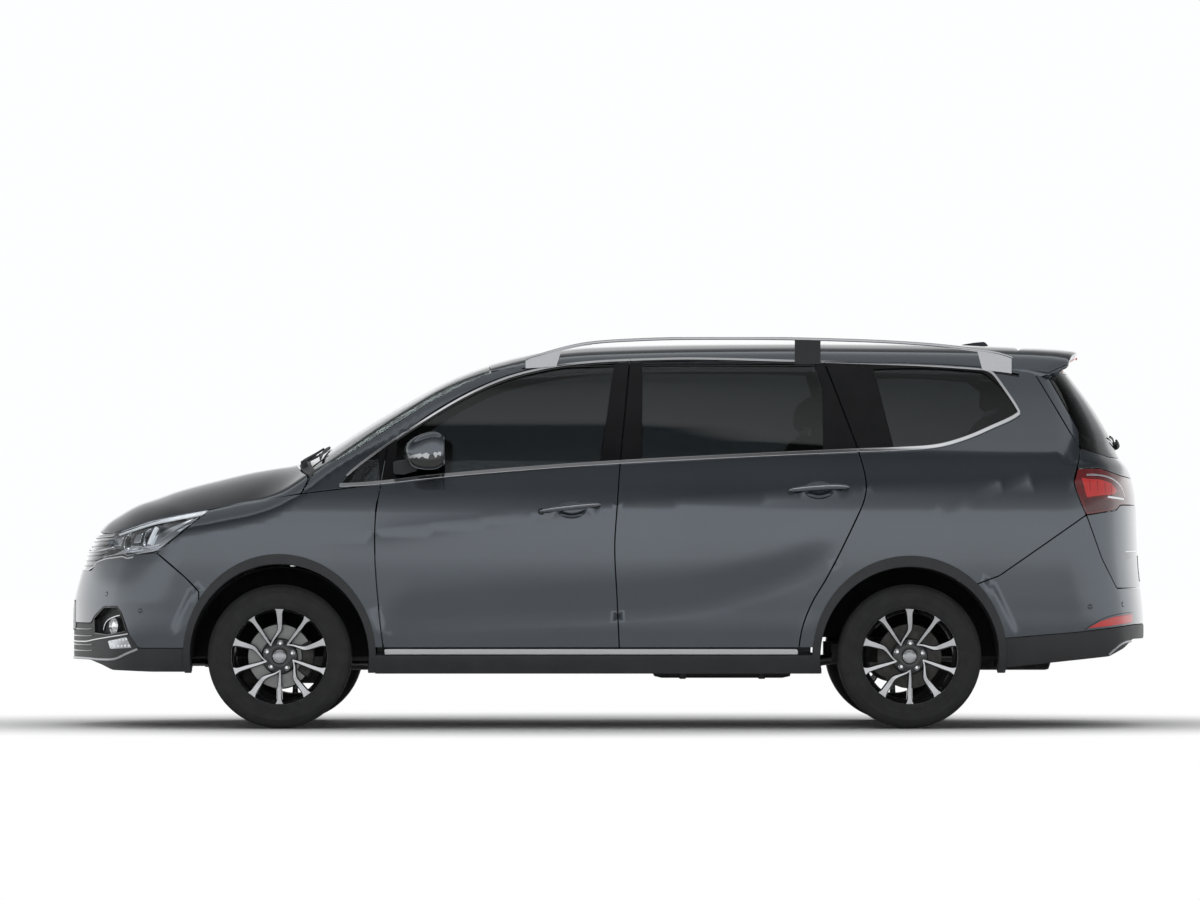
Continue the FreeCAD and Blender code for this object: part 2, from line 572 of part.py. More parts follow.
def make_wheels():
    """Four tyres and four rims, each turned from its half-section about the axle line."""
    radius, wide = size("tyre_radius"), size("tyre_width")
    rim, rim_wide = size("rim_radius"), size("rim_width")
    lip = rim - size("rim_lip")
    flat = wide * .38
    tread = radius - size("tread_crown")
    profile = [(lip + SEAM / 10, -rim_wide / 2), (rim + size("rim_lip") / 2, -wide / 2 + size("tread_crown") * 2),
               ((rim + radius) / 2, -wide / 2), (tread, -flat - size("tread_crown")), (radius, -flat),
               (radius, flat), (tread, flat + size("tread_crown")), ((rim + radius) / 2, wide / 2),
               (rim + size("rim_lip") / 2, wide / 2 - size("tread_crown") * 2), (lip + SEAM / 10, rim_wide / 2)]
    for place, axle in (("front", FRONT_AXLE), ("rear", REAR_AXLE)):
        for side, sign in SIDES:
            middle = V(axle, sign * wheel_hub_y(), WHEEL_Z)
            points = [V(r, y, 0) for r, y in profile]
            tyre = Part.Face(Part.makePolygon(points + points[:1])).revolve(V(), V(0, 1, 0), 360)
            shapes["%s_tyre_%s" % (place, side)] = tyre.translated(middle)
            shapes["%s_rim_%s" % (place, side)] = make_rim(sign).translated(middle)


def make_rim(sign):
    """A rim with its outer face towards a side: barrel, hub and five pairs of spokes."""
    rim, wide, wall = size("rim_radius"), size("rim_width"), size("rim_wall")
    lip = rim - size("rim_lip")
    barrel = Part.makeCylinder(lip, wide, V(0, -wide / 2, 0), V(0, 1, 0))
    barrel = barrel.cut(Part.makeCylinder(lip - wall, wide + OVERRUN, V(0, -wide / 2 - OVERRUN / 2, 0), V(0, 1, 0)))
    face = sign * wide / 2
    hub_deep = size("hub_depth")
    hub = Part.makeCylinder(size("hub_radius"), hub_deep, V(0, face, 0), V(0, -sign, 0))
    result = barrel.fuse(hub)
    spoke_deep = size("spoke_depth")
    start = size("hub_radius") * .6
    for i in range(10):
        half_wide = size("spoke_width") / 2
        low = V(start, face - (spoke_deep if sign > 0 else 0), -half_wide)
        spoke = Part.makeBox(lip - wall / 2 - start, spoke_deep, half_wide * 2, low)
        spoke.rotate(V(), V(0, 1, 0), 36 * i + 54)
        result = result.fuse(spoke)
    for i in range(5):
        hole = Part.makeCylinder(size("lug_bore_radius"), wide * 2, V(size("lug_circle_radius"), -wide, 0), V(0, 1, 0))
        hole.rotate(V(), V(0, 1, 0), 72 * i + 87)
        result = result.cut(hole)
    bore = Part.makeCylinder(size("centre_bore_radius"), wide * 2, V(0, -wide, 0), V(0, 1, 0))
    return result.cut(bore)


def make_running_gear():
    """Knuckles that carry the front wheels, the subframe, the rear beam axle."""
    hub_y = wheel_hub_y()
    face = hub_y + size("rim_width") / 2 - size("hub_depth") - SEAM / 10
    for side, sign in SIDES:
        stub = tube_between((FRONT_AXLE, sign * face, WHEEL_Z), (FRONT_AXLE, sign * (face - 40), WHEEL_Z),
                            size("hub_radius") * .9)
        brake = tube_between((FRONT_AXLE, sign * (face - 40), WHEEL_Z), (FRONT_AXLE, sign * (face - 66), WHEEL_Z),
                             size("brake_radius"))
        body = tube_between((FRONT_AXLE, sign * (face - 66), WHEEL_Z), (FRONT_AXLE, sign * (face - 150), WHEEL_Z),
                            size("hub_radius") * .7)
        strut = tube_between((FRONT_AXLE, sign * (face - 120), WHEEL_Z - 60),
                             (FRONT_AXLE, sign * (face - 120), WHEEL_Z + 150), size("strut_radius"))
        shapes["knuckle_%s" % side] = stub.fuse([brake, body, strut])
    wide = hub_y - size("rim_width") / 2 - 60
    frame = block((FRONT_AXLE - 180, -360, 190), (FRONT_AXLE + 200, 360, 250))
    for sign in (-1, 1):
        arm = tube_between((FRONT_AXLE, sign * 340, 220), (FRONT_AXLE, sign * (face - 160), WHEEL_Z - 80), 22)
        frame = frame.fuse(arm)
    shapes["front_subframe"] = frame
    beam = tube_between((REAR_AXLE - 120, -wide + 60, WHEEL_Z + 20), (REAR_AXLE - 120, wide - 60, WHEEL_Z + 20),
                        size("axle_beam_radius"))
    for sign in (-1, 1):
        end = sign * (face - 90)
        arm = block((REAR_AXLE - 330, min(sign * 500, sign * 560), 285), (REAR_AXLE + 30, max(sign * 500, sign * 560), 365))
        drum = tube_between((REAR_AXLE, sign * face, WHEEL_Z), (REAR_AXLE, sign * (face - 66), WHEEL_Z),
                            size("brake_radius"))
        stub = tube_between((REAR_AXLE, sign * (face - 66), WHEEL_Z), (REAR_AXLE, sign * 520, WHEEL_Z), 34)
        beam = beam.fuse([arm, drum, stub])
    shapes["rear_axle"] = beam


def make_floor():
    """Floor pan with its firewall, sills and wheel liners, and what hangs below it."""
    low = size("floor_height") - size("floor_thickness")
    wide = HALF - size("door_thickness") - size("door_step") - SEAM
    sill_top = near(0, 647.5)[1] - FIT
    floor = block((-1010, -wide, low), (REAR_AXLE - 430, wide, size("floor_height")))
    ahead = block((-1180, -HALF * .54, low), (-1010, HALF * .54, size("floor_height")))
    sills = [block((-1010, min(y, y + 135 * sign), low - 30), (REAR_AXLE - 430, max(y, y + 135 * sign), sill_top))
             for sign in (-1, 1) for y in (sign * (HALF * .72),)]
    boot = block((REAR_AXLE - 470, -HALF * .54, low + 110), (TAIL - 150, HALF * .54, low + 110 + size("floor_thickness")))
    step = block((REAR_AXLE - 470, -HALF * .54, low), (REAR_AXLE - 470 + 30, HALF * .54, low + 150))
    firewall = block((-1210, -HALF * .54, low), (-1180, HALF * .54, 1040))
    shapes["floor_pan"] = floor.fuse([ahead, boot, step, firewall] + sills)
    liners = []
    for axle in (FRONT_AXLE, REAR_AXLE):
        radius = size("arch_radius") - FIT
        for sign in (-1, 1):
            inner, outer = HALF * .545, HALF * .84
            start = V(axle, sign * inner, WHEEL_Z)
            shell = Part.makeCylinder(radius, outer - inner, start, V(0, sign, 0))
            hollow = Part.makeCylinder(radius - size("liner_wall"), outer - inner, start + V(0, sign * size("liner_wall"), 0),
                                       V(0, sign, 0))
            shell = shell.cut(hollow)
            shell = shell.cut(block((-LENGTH, -LENGTH, -LENGTH), (LENGTH, LENGTH, size("floor_height") - 20)))
            if axle == REAR_AXLE:
                low_y, high_y = sorted((sign * 470, sign * 610))
                shell = shell.cut(block((axle - 470, low_y, 0), (axle + 70, high_y, 395)))
                shell = shell.cut(tube_between((axle, sign * 470, WHEEL_Z), (axle, sign * 600, WHEEL_Z), 60))
            liners.append(shell)
    shapes["wheel_liners"] = Part.makeCompound(liners)
    shapes["engine"] = block((-2120, -380, 300), (-2120 + size("engine_length"), -380 + size("engine_width"),
                                                  300 + size("engine_height")))
    tank_x = REAR_AXLE - 1120
    shapes["fuel_tank"] = block((tank_x, -size("fuel_tank_width") / 2, low - SEAM / 10 - size("fuel_tank_height") + 60),
                                (tank_x + size("fuel_tank_length"), size("fuel_tank_width") / 2 - 180, low - SEAM / 10))
    pipe = tube_between((-1200, 360, 240), (REAR_AXLE + 500, 360, 240), size("exhaust_radius"))
    can = tube_between((REAR_AXLE + 300, 360, 270), (REAR_AXLE + 700, 360, 270), size("silencer_radius"))
    shapes["exhaust"] = pipe.fuse(can)


def seat(x, y, wide, z, ground, back_lean=14):
    deep, thick, tall = size("seat_depth"), size("cushion_height"), size("seat_back_height")
    cushion = block((x, y - wide / 2, z), (x + deep, y + wide / 2, z + thick))
    back = block((x + deep - 60, y - wide / 2, z + thick * .6),
                 (x + deep - 60 + size("seat_back_thickness"), y + wide / 2, z + thick * .6 + tall))
    back.rotate(V(x + deep - 60, y, z + thick * .6), V(0, 1, 0), back_lean)
    foot = block((x + 60, y - wide / 2 + 60, ground + FIT), (x + deep - 60, y + wide / 2 - 60, z + 10))
    return cushion.fuse([back, foot])


def headrest(x, y, z, wide=240):
    return block((x, y - wide / 2, z), (x + 90, y + wide / 2, z + 190))


def make_cabin():
    """Seats, dashboard and steering wheel, which show through the glass."""
    base = size("seat_height")
    wide = size("seat_width")
    floor = size("floor_height")
    boot = floor - size("floor_thickness") + 110 + size("floor_thickness")
    for label, x, places, z, ground in (("front_seats", -560, (-360, 360), base - 20, floor),
                                        ("middle_seats", 250, (-350, 350), base, floor),
                                        ("rear_seats", 1090, (-270, 270), base + 80, boot)):
        solids = []
        for y in places:
            chair = seat(x, y, wide if label != "rear_seats" else wide * .96, z, ground)
            rest = headrest(x + size("seat_depth") + 125, y, z + size("seat_back_height") + 62)
            solids.append(chair.fuse(rest))
        shapes[label] = Part.makeCompound(solids)
    dash = block((-1170, -HALF * .78, 760), (-830, HALF * .78, 1040))
    shapes["dashboard"] = dash
    lean = V(math.cos(math.radians(25)), 0, math.sin(math.radians(25)))
    centre = V(-690, -360, 990)
    wheel = ring_of(centre, size("steering_wheel_radius"), 15, lean)
    spoke = tube_between(tuple(centre + V(0, -180, 0)), tuple(centre + V(0, 180, 0)), 12)
    column = tube_between(tuple(centre), tuple(centre - lean * 140), 22)
    shapes["steering_wheel"] = wheel.fuse([spoke, column])


def make_outside():
    """Roof rails, fin, mirrors, wipers and the dark cladding."""
    rails = []
    for sign in (-1, 1):
        y = sign * HALF * .685
        points = [near(*p) for p in ((541, 354), (600, 340.5), (700, 338), (800, 338.5), (900, 341.5), (1005, 353))]
        bar = None
        for a, b in zip(points, points[1:]):
            piece = tube_between((a[0], y, a[1]), (b[0], y, b[1]), size("rail_radius"))
            joint = Part.makeSphere(size("rail_radius"), V(b[0], y, b[1]))
            bar = piece.fuse(joint) if bar is None else bar.fuse([piece, joint])
        for px in (560, 810, 995):
            x = near(px, 0)[0]
            inner_y = y - sign * 14
            roof = max(reach((x + step, inner_y, HEIGHT * .8), (0, 0, 1), 0, HEIGHT) for step in (-60, 0, 60)) + HEIGHT * .8
            top = [a[1] + (b[1] - a[1]) * (x - a[0]) / (b[0] - a[0]) for a, b in zip(points, points[1:]) if a[0] <= x <= b[0]]
            bar = bar.fuse(block((x - 60, y - 10, roof + FIT + 4), (x + 60, y + 10, top[0])))
        rails.append(bar)
    shapes["roof_rails"] = Part.makeCompound(rails)
    base = hull(spread(-1060, 130, 4), -SEAM / 10, bottom_line, RING)
    for side, sign in SIDES:
        middle = near(424, 451)
        shell = block((middle[0] - 85, 0, middle[1] - 78), (middle[0] + 85, size("mirror_reach"), middle[1] + 78))
        shell = shell.makeFillet(45, shell.Edges)
        shell = shell.translated(V(0, HALF * 1.01, 0))
        stalk = block((middle[0] - 60, HALF * .88, middle[1] - 100), (middle[0] + 20, HALF * 1.03, middle[1] - 50))
        piece = shell.fuse(stalk).cut(base)
        piece = largest(piece.Solids)
        shapes["mirror_%s" % side] = piece if sign > 0 else piece.mirror(V(), V(0, 1, 0))
    sill_low, sill_high = near(0, 674)[1], near(0, 648.5)[1] - SEAM
    outer = hull(spread(near(376, 0)[0], near(822, 0)[0], 4), -SEAM * 2, lambda x: sill_low, RING)
    inner = core(near(370, 0)[0], near(830, 0)[0], 4, size("skin_depth"))
    band = block((-LENGTH, -HALF * 2, 0), (LENGTH, HALF * 2, sill_high))
    sill = outer.cut(inner).common(band)
    shapes["sill_cladding"] = sill.cut(wheel_hole(FRONT_AXLE, size("arch_radius") + OVERRUN, HALF / 2)).cut(
        wheel_hole(REAR_AXLE, size("arch_radius") + OVERRUN, HALF / 2))


make_doors()
make_front()
make_shell()
make_glass()
make_tail()
make_wheels()
make_running_gear()
make_floor()
make_cabin()
make_outside()

for label, shape in shapes.items():
    feature = doc.addObject("Part::Feature", label)
    feature.Label = label
    feature.Shape = shape
doc.recompute()
os.makedirs("parts", exist_ok=True)
for feature in doc.Objects:
    if feature.TypeId == "Part::Feature":
        shape = feature.Shape
        bad = shape.isNull() or not shape.isValid() or not shape.Solids
        print(feature.Label, len(shape.Solids), "BAD" if bad else "ok", round(shape.Volume / 1e6, 1))
        if not bad:
            shape.exportStep("parts/%s.step" % feature.Label)
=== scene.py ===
"""Minivan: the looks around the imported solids. Lengths are in millimetres, scaled by MM; the nose points to -X."""

import json
import math

import bpy
import numpy as np
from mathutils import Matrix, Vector
from mathutils.geometry import delaunay_2d_cdt

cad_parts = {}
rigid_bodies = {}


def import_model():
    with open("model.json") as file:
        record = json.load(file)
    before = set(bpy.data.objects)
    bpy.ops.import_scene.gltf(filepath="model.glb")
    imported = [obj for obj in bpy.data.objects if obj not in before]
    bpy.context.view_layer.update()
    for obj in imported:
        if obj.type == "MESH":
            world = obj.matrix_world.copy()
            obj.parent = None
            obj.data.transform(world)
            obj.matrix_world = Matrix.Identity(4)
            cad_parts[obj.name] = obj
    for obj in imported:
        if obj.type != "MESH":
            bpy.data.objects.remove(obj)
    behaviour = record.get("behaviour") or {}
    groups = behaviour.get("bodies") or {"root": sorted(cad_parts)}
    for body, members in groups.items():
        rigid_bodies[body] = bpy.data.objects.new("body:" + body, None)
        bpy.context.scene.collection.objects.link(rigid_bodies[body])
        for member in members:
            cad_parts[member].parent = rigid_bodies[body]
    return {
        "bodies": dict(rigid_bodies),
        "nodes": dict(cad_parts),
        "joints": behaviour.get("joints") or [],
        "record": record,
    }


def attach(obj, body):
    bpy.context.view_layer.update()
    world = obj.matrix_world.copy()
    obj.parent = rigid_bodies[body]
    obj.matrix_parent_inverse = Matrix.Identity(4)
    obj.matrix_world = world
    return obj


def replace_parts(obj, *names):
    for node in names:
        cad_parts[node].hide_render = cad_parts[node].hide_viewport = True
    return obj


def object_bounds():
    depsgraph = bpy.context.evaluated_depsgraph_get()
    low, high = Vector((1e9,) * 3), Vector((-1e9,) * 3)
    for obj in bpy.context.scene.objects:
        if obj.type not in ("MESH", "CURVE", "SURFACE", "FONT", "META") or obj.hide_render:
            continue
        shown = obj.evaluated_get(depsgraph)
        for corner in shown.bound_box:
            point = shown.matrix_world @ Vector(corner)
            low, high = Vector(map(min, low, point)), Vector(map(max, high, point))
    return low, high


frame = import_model()
CAD_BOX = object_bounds()

MM = .001
BOX_INSET = .3
END_INSETS = (.3, 1.0, 2.4)
LENGTH, HALF, HEIGHT = 4784.0, 890.0, 1703.0
FRONT_AXLE, REAR_AXLE, WHEEL_Z, HUB_Y = -1435.0, 1315.0, 315.0, 765.0
SIDES = (("left", -1), ("right", 1))
FRONT_DOORS = ("front_door_left", "front_door_right")
REAR_DOORS = ("rear_door_left", "rear_door_right")
GATE_PAIR = ("tailgate", "tailgate")
Y_AXIS = (0, 1, 0)


# Places in the side view, in pixels of the near side and of the middle plane
def near(px, py):
    return ((px - 608.4) * LENGTH / 1098.8, (729 - py) * HEIGHT / 391.1)


def mid(px, py):
    return ((px - 607.7) * LENGTH / 1068.2, (724.1 - py) * HEIGHT / 380.25)


def smooth_line(points):
    """A monotone cubic through the points, as a function of arrays, straight past its ends."""
    us, vs = (np.array(c, float) for c in zip(*points))
    chords = np.diff(vs) / np.diff(us)
    before, after = chords[:-1], chords[1:]
    total = np.where(before + after == 0, 1, before + after)
    inner = np.where(before * after <= 0, 0, 2 * before * after / total)
    slopes = np.concatenate(([chords[0]], inner, [chords[-1]]))

    def value(u):
        u = np.asarray(u, float)
        i = np.clip(np.searchsorted(us, u) - 1, 0, len(us) - 2)
        step = us[i + 1] - us[i]
        s = np.clip((u - us[i]) / step, 0, 1)
        rise = vs[i + 1] - vs[i]
        inside = (vs[i] + step * slopes[i] * s * (1 - s) ** 2 + rise * s * s * (3 - 2 * s)
                  - step * slopes[i + 1] * s * s * (1 - s))
        return (inside + np.minimum(u - us[0], 0) * slopes[0]
                + np.maximum(u - us[-1], 0) * slopes[-1])
    return value


# Lines of the outer body, drawn in pixels of the middle plane
HOOD_LINE_px = ((85, 550), (90, 535), (95, 529), (100, 524), (110, 517), (120, 513), (140, 504), (160, 497),
                (180, 490), (220, 479.5), (260, 470.5), (305, 464), (340, 460))
SCREEN_LINE_px = ((290, 475), (320, 456), (360, 430), (400, 406), (440, 384), (480, 365), (520, 348), (580, 326))
ROOF_LINE_px = ((430, 364), (480, 357), (520, 352.3), (540, 350.2), (600, 346.3), (700, 343.9), (800, 343.3),
                (900, 343.9), (1000, 346.2), (1040, 349.5), (1077, 355.5), (1140, 368))
NOSE_LINE_px = ((112, 500), (98, 520), (90, 535), (85, 550), (80, 566), (75, 589), (73.5, 602), (73.3, 690))
TAIL_LINE_px = ((1043, 345), (1064.2, 370.4), (1077.4, 387.6), (1088.8, 403), (1100, 420.3), (1111, 440),
                (1119.5, 459.7), (1127, 468.4), (1132.5, 483.5), (1135.4, 501), (1136, 520), (1137.5, 560),
                (1139.8, 585), (1141.9, 605.7), (1142.8, 619.7), (1142.9, 690))
SIDE_INSET_shares = ((.138, .081), (.194, .038), (.247, .022), (.305, .016), (.352, .011), (.446, .002), (.50, 0),
                     (.558, .003), (.587, .010), (.634, .031), (.699, .065), (.763, .112), (.822, .160),
                     (.881, .213), (.940, .276), (1.0, .35))
PLAN_WIDTH_shares = ((.0, .87), (.061, .955), (.124, .985), (.2, 1.0), (.27, .985), (.40, .978), (.5, .98),
                     (.65, .985), (.775, 1.0), (.86, .982), (.92, .945), (.96, .905), (1.0, .85))
GLASSHOUSE_TAPER_shares = ((.0, 0), (.5, 0), (.65, .012), (.8, .035), (.9, .06), (1.0, .09))
HOOD_DROP_shares = ((.03, .10), (.08, .157), (.136, .196), (.22, .20), (.3, .20))
SHOULDER_shares = ((.03, .08), (.2, .09), (.26, .06), (.36, .06), (.45, .12), (.8, .12), (1.0, .10))
CREASE_px = ((305, 541), (370, 533), (475, 520.5), (538, 513), (601.5, 506.8), (700, 498.4), (787.5, 492.2),
             (850.6, 487.4), (968.6, 483), (1076.4, 481), (1140, 480))
LOW_CREASE_px = ((300, 640), (382.6, 634), (401.6, 627.8), (475, 620.5), (617, 613.5), (695.7, 607), (753, 592.6),
                 (810.4, 571.6), (835.3, 560), (880, 540))

hood_line = smooth_line([mid(*p) for p in HOOD_LINE_px])
screen_line = smooth_line([mid(*p) for p in SCREEN_LINE_px])
roof_line = smooth_line([mid(*p) for p in ROOF_LINE_px])
nose_line = smooth_line([mid(*p)[::-1] for p in reversed(NOSE_LINE_px)])
tail_line = smooth_line([mid(*p)[::-1] for p in reversed(TAIL_LINE_px)])
side_inset = smooth_line([(z * HEIGHT, s * HALF) for z, s in SIDE_INSET_shares])
plan_width = smooth_line([(x * LENGTH - LENGTH / 2, s * HALF) for x, s in PLAN_WIDTH_shares])
glasshouse_taper = smooth_line([(x * LENGTH - LENGTH / 2, s * HALF) for x, s in GLASSHOUSE_TAPER_shares])
hood_drop = smooth_line([(x * LENGTH - LENGTH / 2, s * HALF) for x, s in HOOD_DROP_shares])
shoulder = smooth_line([(x * LENGTH - LENGTH / 2, s * HALF) for x, s in SHOULDER_shares])
crease_line = smooth_line([near(*p) for p in CREASE_px])
low_crease_line = smooth_line([near(*p) for p in LOW_CREASE_px])


def step01(u, low, high):
    """A smooth step from 0 at low to 1 at high."""
    s = np.clip((u - low) / (high - low), 0, 1)
    return s * s * (3 - 2 * s)


def highest(a, b, blend):
    """The greater of two distances, with the corner between them rounded."""
    share = np.maximum(blend - np.abs(a - b), 0) / blend
    return np.maximum(a, b) + share * share * blend / 4


def lowest(a, b, blend):
    return -highest(-a, -b, blend)


# Depth of the crease's fold over and under it, each with how soon it is reached; then the low hollow's depth and
# its reach up and down, and how far the side swells round the wheels, and between which radii
FOLD_ABOVE, FOLD_BELOW, SCOOP = (5.0, 60), (7.0, 34), (11.0, 95, 17)
FLARE, FLARE_RADII = 9.0, (452, 486)
# Of the body's faces, as shares of its half width: how they bow across it, and how softly they meet
NOSE_BOW, SCREEN_BOW, TAIL_WRAP, TAIL_CORNER, ROOF_CROWN = .415, .16, .22, .15, .065
HOOD_BLEND, ROOF_BLEND, NOSE_BLEND, TAIL_BLEND = .05, .11, .16, .12
# The slopes that turn a distance along X or Z into one square to the slanting face
SCREEN_SLOPE, TAIL_SLOPE = .85, .92


def sculpt(x, z):
    """How far the doors' folds and hollows draw the side in."""
    above = z - crease_line(x)
    strength = step01(x, -1330, -900) * (1 - step01(x, 2050, 2300) * .5)
    (high, high_run), (low, low_run) = FOLD_ABOVE, FOLD_BELOW
    fold = np.where(above > 0, high * (1 - np.exp(-above / high_run)), low * (1 - np.exp(above / low_run)))
    fold = fold * strength
    over = z - low_crease_line(x)
    run = step01(x, -1010, -800) * (1 - step01(x, 820, 1080))
    deep, high_run, low_run = SCOOP
    scoop = np.where(over > 0, deep * np.exp(-(over / high_run) ** 2), deep * np.exp(-(over / low_run) ** 2)) * run
    wheel = 0
    for axle in (FRONT_AXLE, REAR_AXLE):
        far = np.hypot(x - axle, z - WHEEL_Z)
        wheel = wheel - FLARE * (1 - step01(far, *FLARE_RADII)) * step01(z, 250, 420)
    return fold + scoop + wheel


def outside(p, plain=False):
    """About how far points lie outside the outer body, less than zero inside it."""
    x, y, z = p[..., 0], p[..., 1], p[..., 2]
    across = np.abs(y) / HALF
    high = np.maximum(0, (z / HEIGHT - .70) / .30)
    side = np.abs(y) - plan_width(x) + side_inset(z) + glasshouse_taper(x) * high
    if not plain:
        side = side + sculpt(x, z)
    hood = z - hood_line(x) + hood_drop(x) * across ** 2.3
    screen = (z - screen_line(x - SCREEN_BOW * HALF * across * across)) * SCREEN_SLOPE
    roof = z - roof_line(x) + ROOF_CROWN * HALF * across * across * 2
    top = highest(roof, lowest(hood, screen, HOOD_BLEND * HALF), ROOF_BLEND * HALF)
    nose = nose_line(z) + NOSE_BOW * HALF * across * across - x
    wrap = TAIL_WRAP * across * across + TAIL_CORNER * across ** 6
    tail = (x - tail_line(z) + wrap * HALF) * TAIL_SLOPE
    body = highest(side, top, shoulder(x))
    body = highest(body, nose, NOSE_BLEND * HALF)
    return highest(body, tail, TAIL_BLEND * HALF)


CAST_REACH, CAST_HALVINGS, NORMAL_STEP = 2600.0, 28, 1.2


def cast(start, way, depth=0.0, plain=False):
    """Where rays from inside the body leave it, drawn in by a depth."""
    start, way = np.broadcast_arrays(np.asarray(start, float), np.asarray(way, float))
    near_t = np.zeros(start.shape[:-1])
    far_t = np.full(start.shape[:-1], CAST_REACH)
    for _ in range(CAST_HALVINGS):
        t = (near_t + far_t) / 2
        inside = outside(start + way * t[..., None], plain) < -depth
        near_t = np.where(inside, t, near_t)
        far_t = np.where(inside, far_t, t)
    return start + way * near_t[..., None]


def normals_at(p, plain=False):
    """The way the body faces at these points, from how its form changes a small step around them."""
    g = np.stack([outside(p + d, plain) - outside(p - d, plain) for d in np.eye(3) * NORMAL_STEP], -1)
    return g / np.linalg.norm(g, axis=-1, keepdims=True)


# Four ways to unroll the body: each takes a flat place to a ray, and a point back to its flat place
NOSE_HUB, TAIL_HUB, UNROLL = -1600.0, 1450.0, 900.0
# How far round the nose and tail are unrolled, and the heights from which rays rise to the top and the roof
END_REACH, TOP_START, ROOF_START = UNROLL * 1.55, 560, 900


def side_ray(uv):
    u, v = uv[:, 0], uv[:, 1]
    return np.stack([u, 0 * u, v], -1), np.array([0, -1.0, 0])


def top_ray(uv):
    u, v = uv[:, 0], uv[:, 1]
    return np.stack([u, v, 0 * u + TOP_START], -1), np.array([0, 0, 1.0])


def nose_ray(uv):
    a = uv[:, 0] / UNROLL
    return (np.stack([0 * a + NOSE_HUB, 0 * a, uv[:, 1]], -1),
            np.stack([-np.cos(a), -np.sin(a), 0 * a], -1))


def tail_ray(uv):
    a = uv[:, 0] / UNROLL
    return (np.stack([0 * a + TAIL_HUB, 0 * a, uv[:, 1]], -1),
            np.stack([np.cos(a), -np.sin(a), 0 * a], -1))


def side_flat(p):
    return p[:, [0, 2]]


def top_flat(p):
    return p[:, :2]


def nose_flat(p):
    return np.stack([np.arctan2(-p[:, 1], NOSE_HUB - p[:, 0]) * UNROLL, p[:, 2]], -1)


def tail_flat(p):
    return np.stack([np.arctan2(-p[:, 1], p[:, 0] - TAIL_HUB) * UNROLL, p[:, 2]], -1)


WAYS = {"side": (side_ray, side_flat), "top": (top_ray, top_flat), "nose": (nose_ray, nose_flat),
        "tail": (tail_ray, tail_flat)}


def lift(way, uv, depth=0.0, plain=False):
    """Flat places of an unrolling as points of the body."""
    start, ray = WAYS[way][0](uv)
    return cast(start, ray, depth, plain)


def on_side(line):
    """Near-side points of the body that show at these X, Z places in the side view."""
    line = np.asarray(line, float)
    return cast(np.stack([line[:, 0], 0 * line[:, 0], line[:, 1]], -1), np.array([0, -1.0, 0]))


END_GRIDS = {}


def end_grid(way):
    """X over the unrolled end, so that a place in the side view is found without a search."""
    if way not in END_GRIDS:
        u, v = np.linspace(0, END_REACH, 190), np.arange(170.0, 1740.0, 14.0)
        gu, gv = np.meshgrid(u, v)
        x = lift(way, np.stack([gu.ravel(), gv.ravel()], -1))[:, 0].reshape(gu.shape)
        if way == "tail":
            x = -x
        END_GRIDS[way] = u, v, np.maximum.accumulate(x, 1)
    return END_GRIDS[way]


def on_end(line, way):
    """Points round the nose or tail at these X, Z places; places past the end lie at its middle."""
    line = np.asarray(line, float)
    u, v, x = end_grid(way)
    low = np.zeros(len(line))
    for k, (px, pz) in enumerate(line):
        row = np.clip((pz - v[0]) / (v[1] - v[0]), 0, len(v) - 1.001)
        i, s = int(row), row - int(row)
        here = x[i] * (1 - s) + x[i + 1] * s
        low[k] = np.interp(px if way == "nose" else -px, here, u)
    return lift(way, np.stack([low, line[:, 1]], -1))


def dense(points, pitch=12.0, curved=False):
    """The line through the points, with places every pitch along it."""
    points = np.asarray(points, float)
    far = np.concatenate(([0], np.cumsum(np.linalg.norm(np.diff(points, axis=0), axis=1))))
    count = max(int(far[-1] / pitch), 1) + 1
    at = np.linspace(0, far[-1], count)
    if not curved or len(points) < 3:
        return np.stack([np.interp(at, far, points[:, k]) for k in range(points.shape[1])], -1)
    tangents = np.empty_like(points)
    tangents[1:-1] = (points[2:] - points[:-2]) / (far[2:] - far[:-2])[:, None]
    tangents[0] = (points[1] - points[0]) / (far[1] - far[0]) * 2 - tangents[1]
    tangents[-1] = (points[-1] - points[-2]) / (far[-1] - far[-2]) * 2 - tangents[-2]
    i = np.clip(np.searchsorted(far, at) - 1, 0, len(points) - 2)
    step = (far[i + 1] - far[i])[:, None]
    s = ((at - far[i])[:, None]) / step
    return (points[i] * (1 + 2 * s) * (1 - s) ** 2 + tangents[i] * step * s * (1 - s) ** 2
            + points[i + 1] * s * s * (3 - 2 * s) - tangents[i + 1] * step * s * s * (1 - s))


def loop_of(*runs, pitch=12.0):
    """A closed loop from runs of points: each run a smooth line, corners between the runs."""
    parts = [dense(run, pitch, True)[:-1] for run in runs]
    return np.concatenate(parts)


def px_runs(*runs, at=near):
    return [[at(*p) for p in run] for run in runs]


def holds(loop, points):
    """Which points lie inside a closed flat loop."""
    x, y = points[:, 0], points[:, 1]
    result = np.zeros(len(points), bool)
    ax, ay = loop[:, 0], loop[:, 1]
    bx, by = np.roll(ax, -1), np.roll(ay, -1)
    for i in range(len(loop)):
        if ay[i] == by[i]:
            continue
        hit = (ay[i] > y) != (by[i] > y)
        result ^= hit & (x < (bx[i] - ax[i]) * (y - ay[i]) / (by[i] - ay[i]) + ax[i])
    return result


def distance_to(line, points, closed=True):
    """How far flat points lie from a loop, or from an open line."""
    best = np.full(len(points), 1e9)
    ends = np.roll(line, -1, 0) if closed else line[1:]
    for a, b in zip(line, ends):
        d = b - a
        t = np.clip(((points - a) @ d) / max(d @ d, 1e-9), 0, 1)
        best = np.minimum(best, np.linalg.norm(points - a - t[:, None] * d, axis=1))
    return best


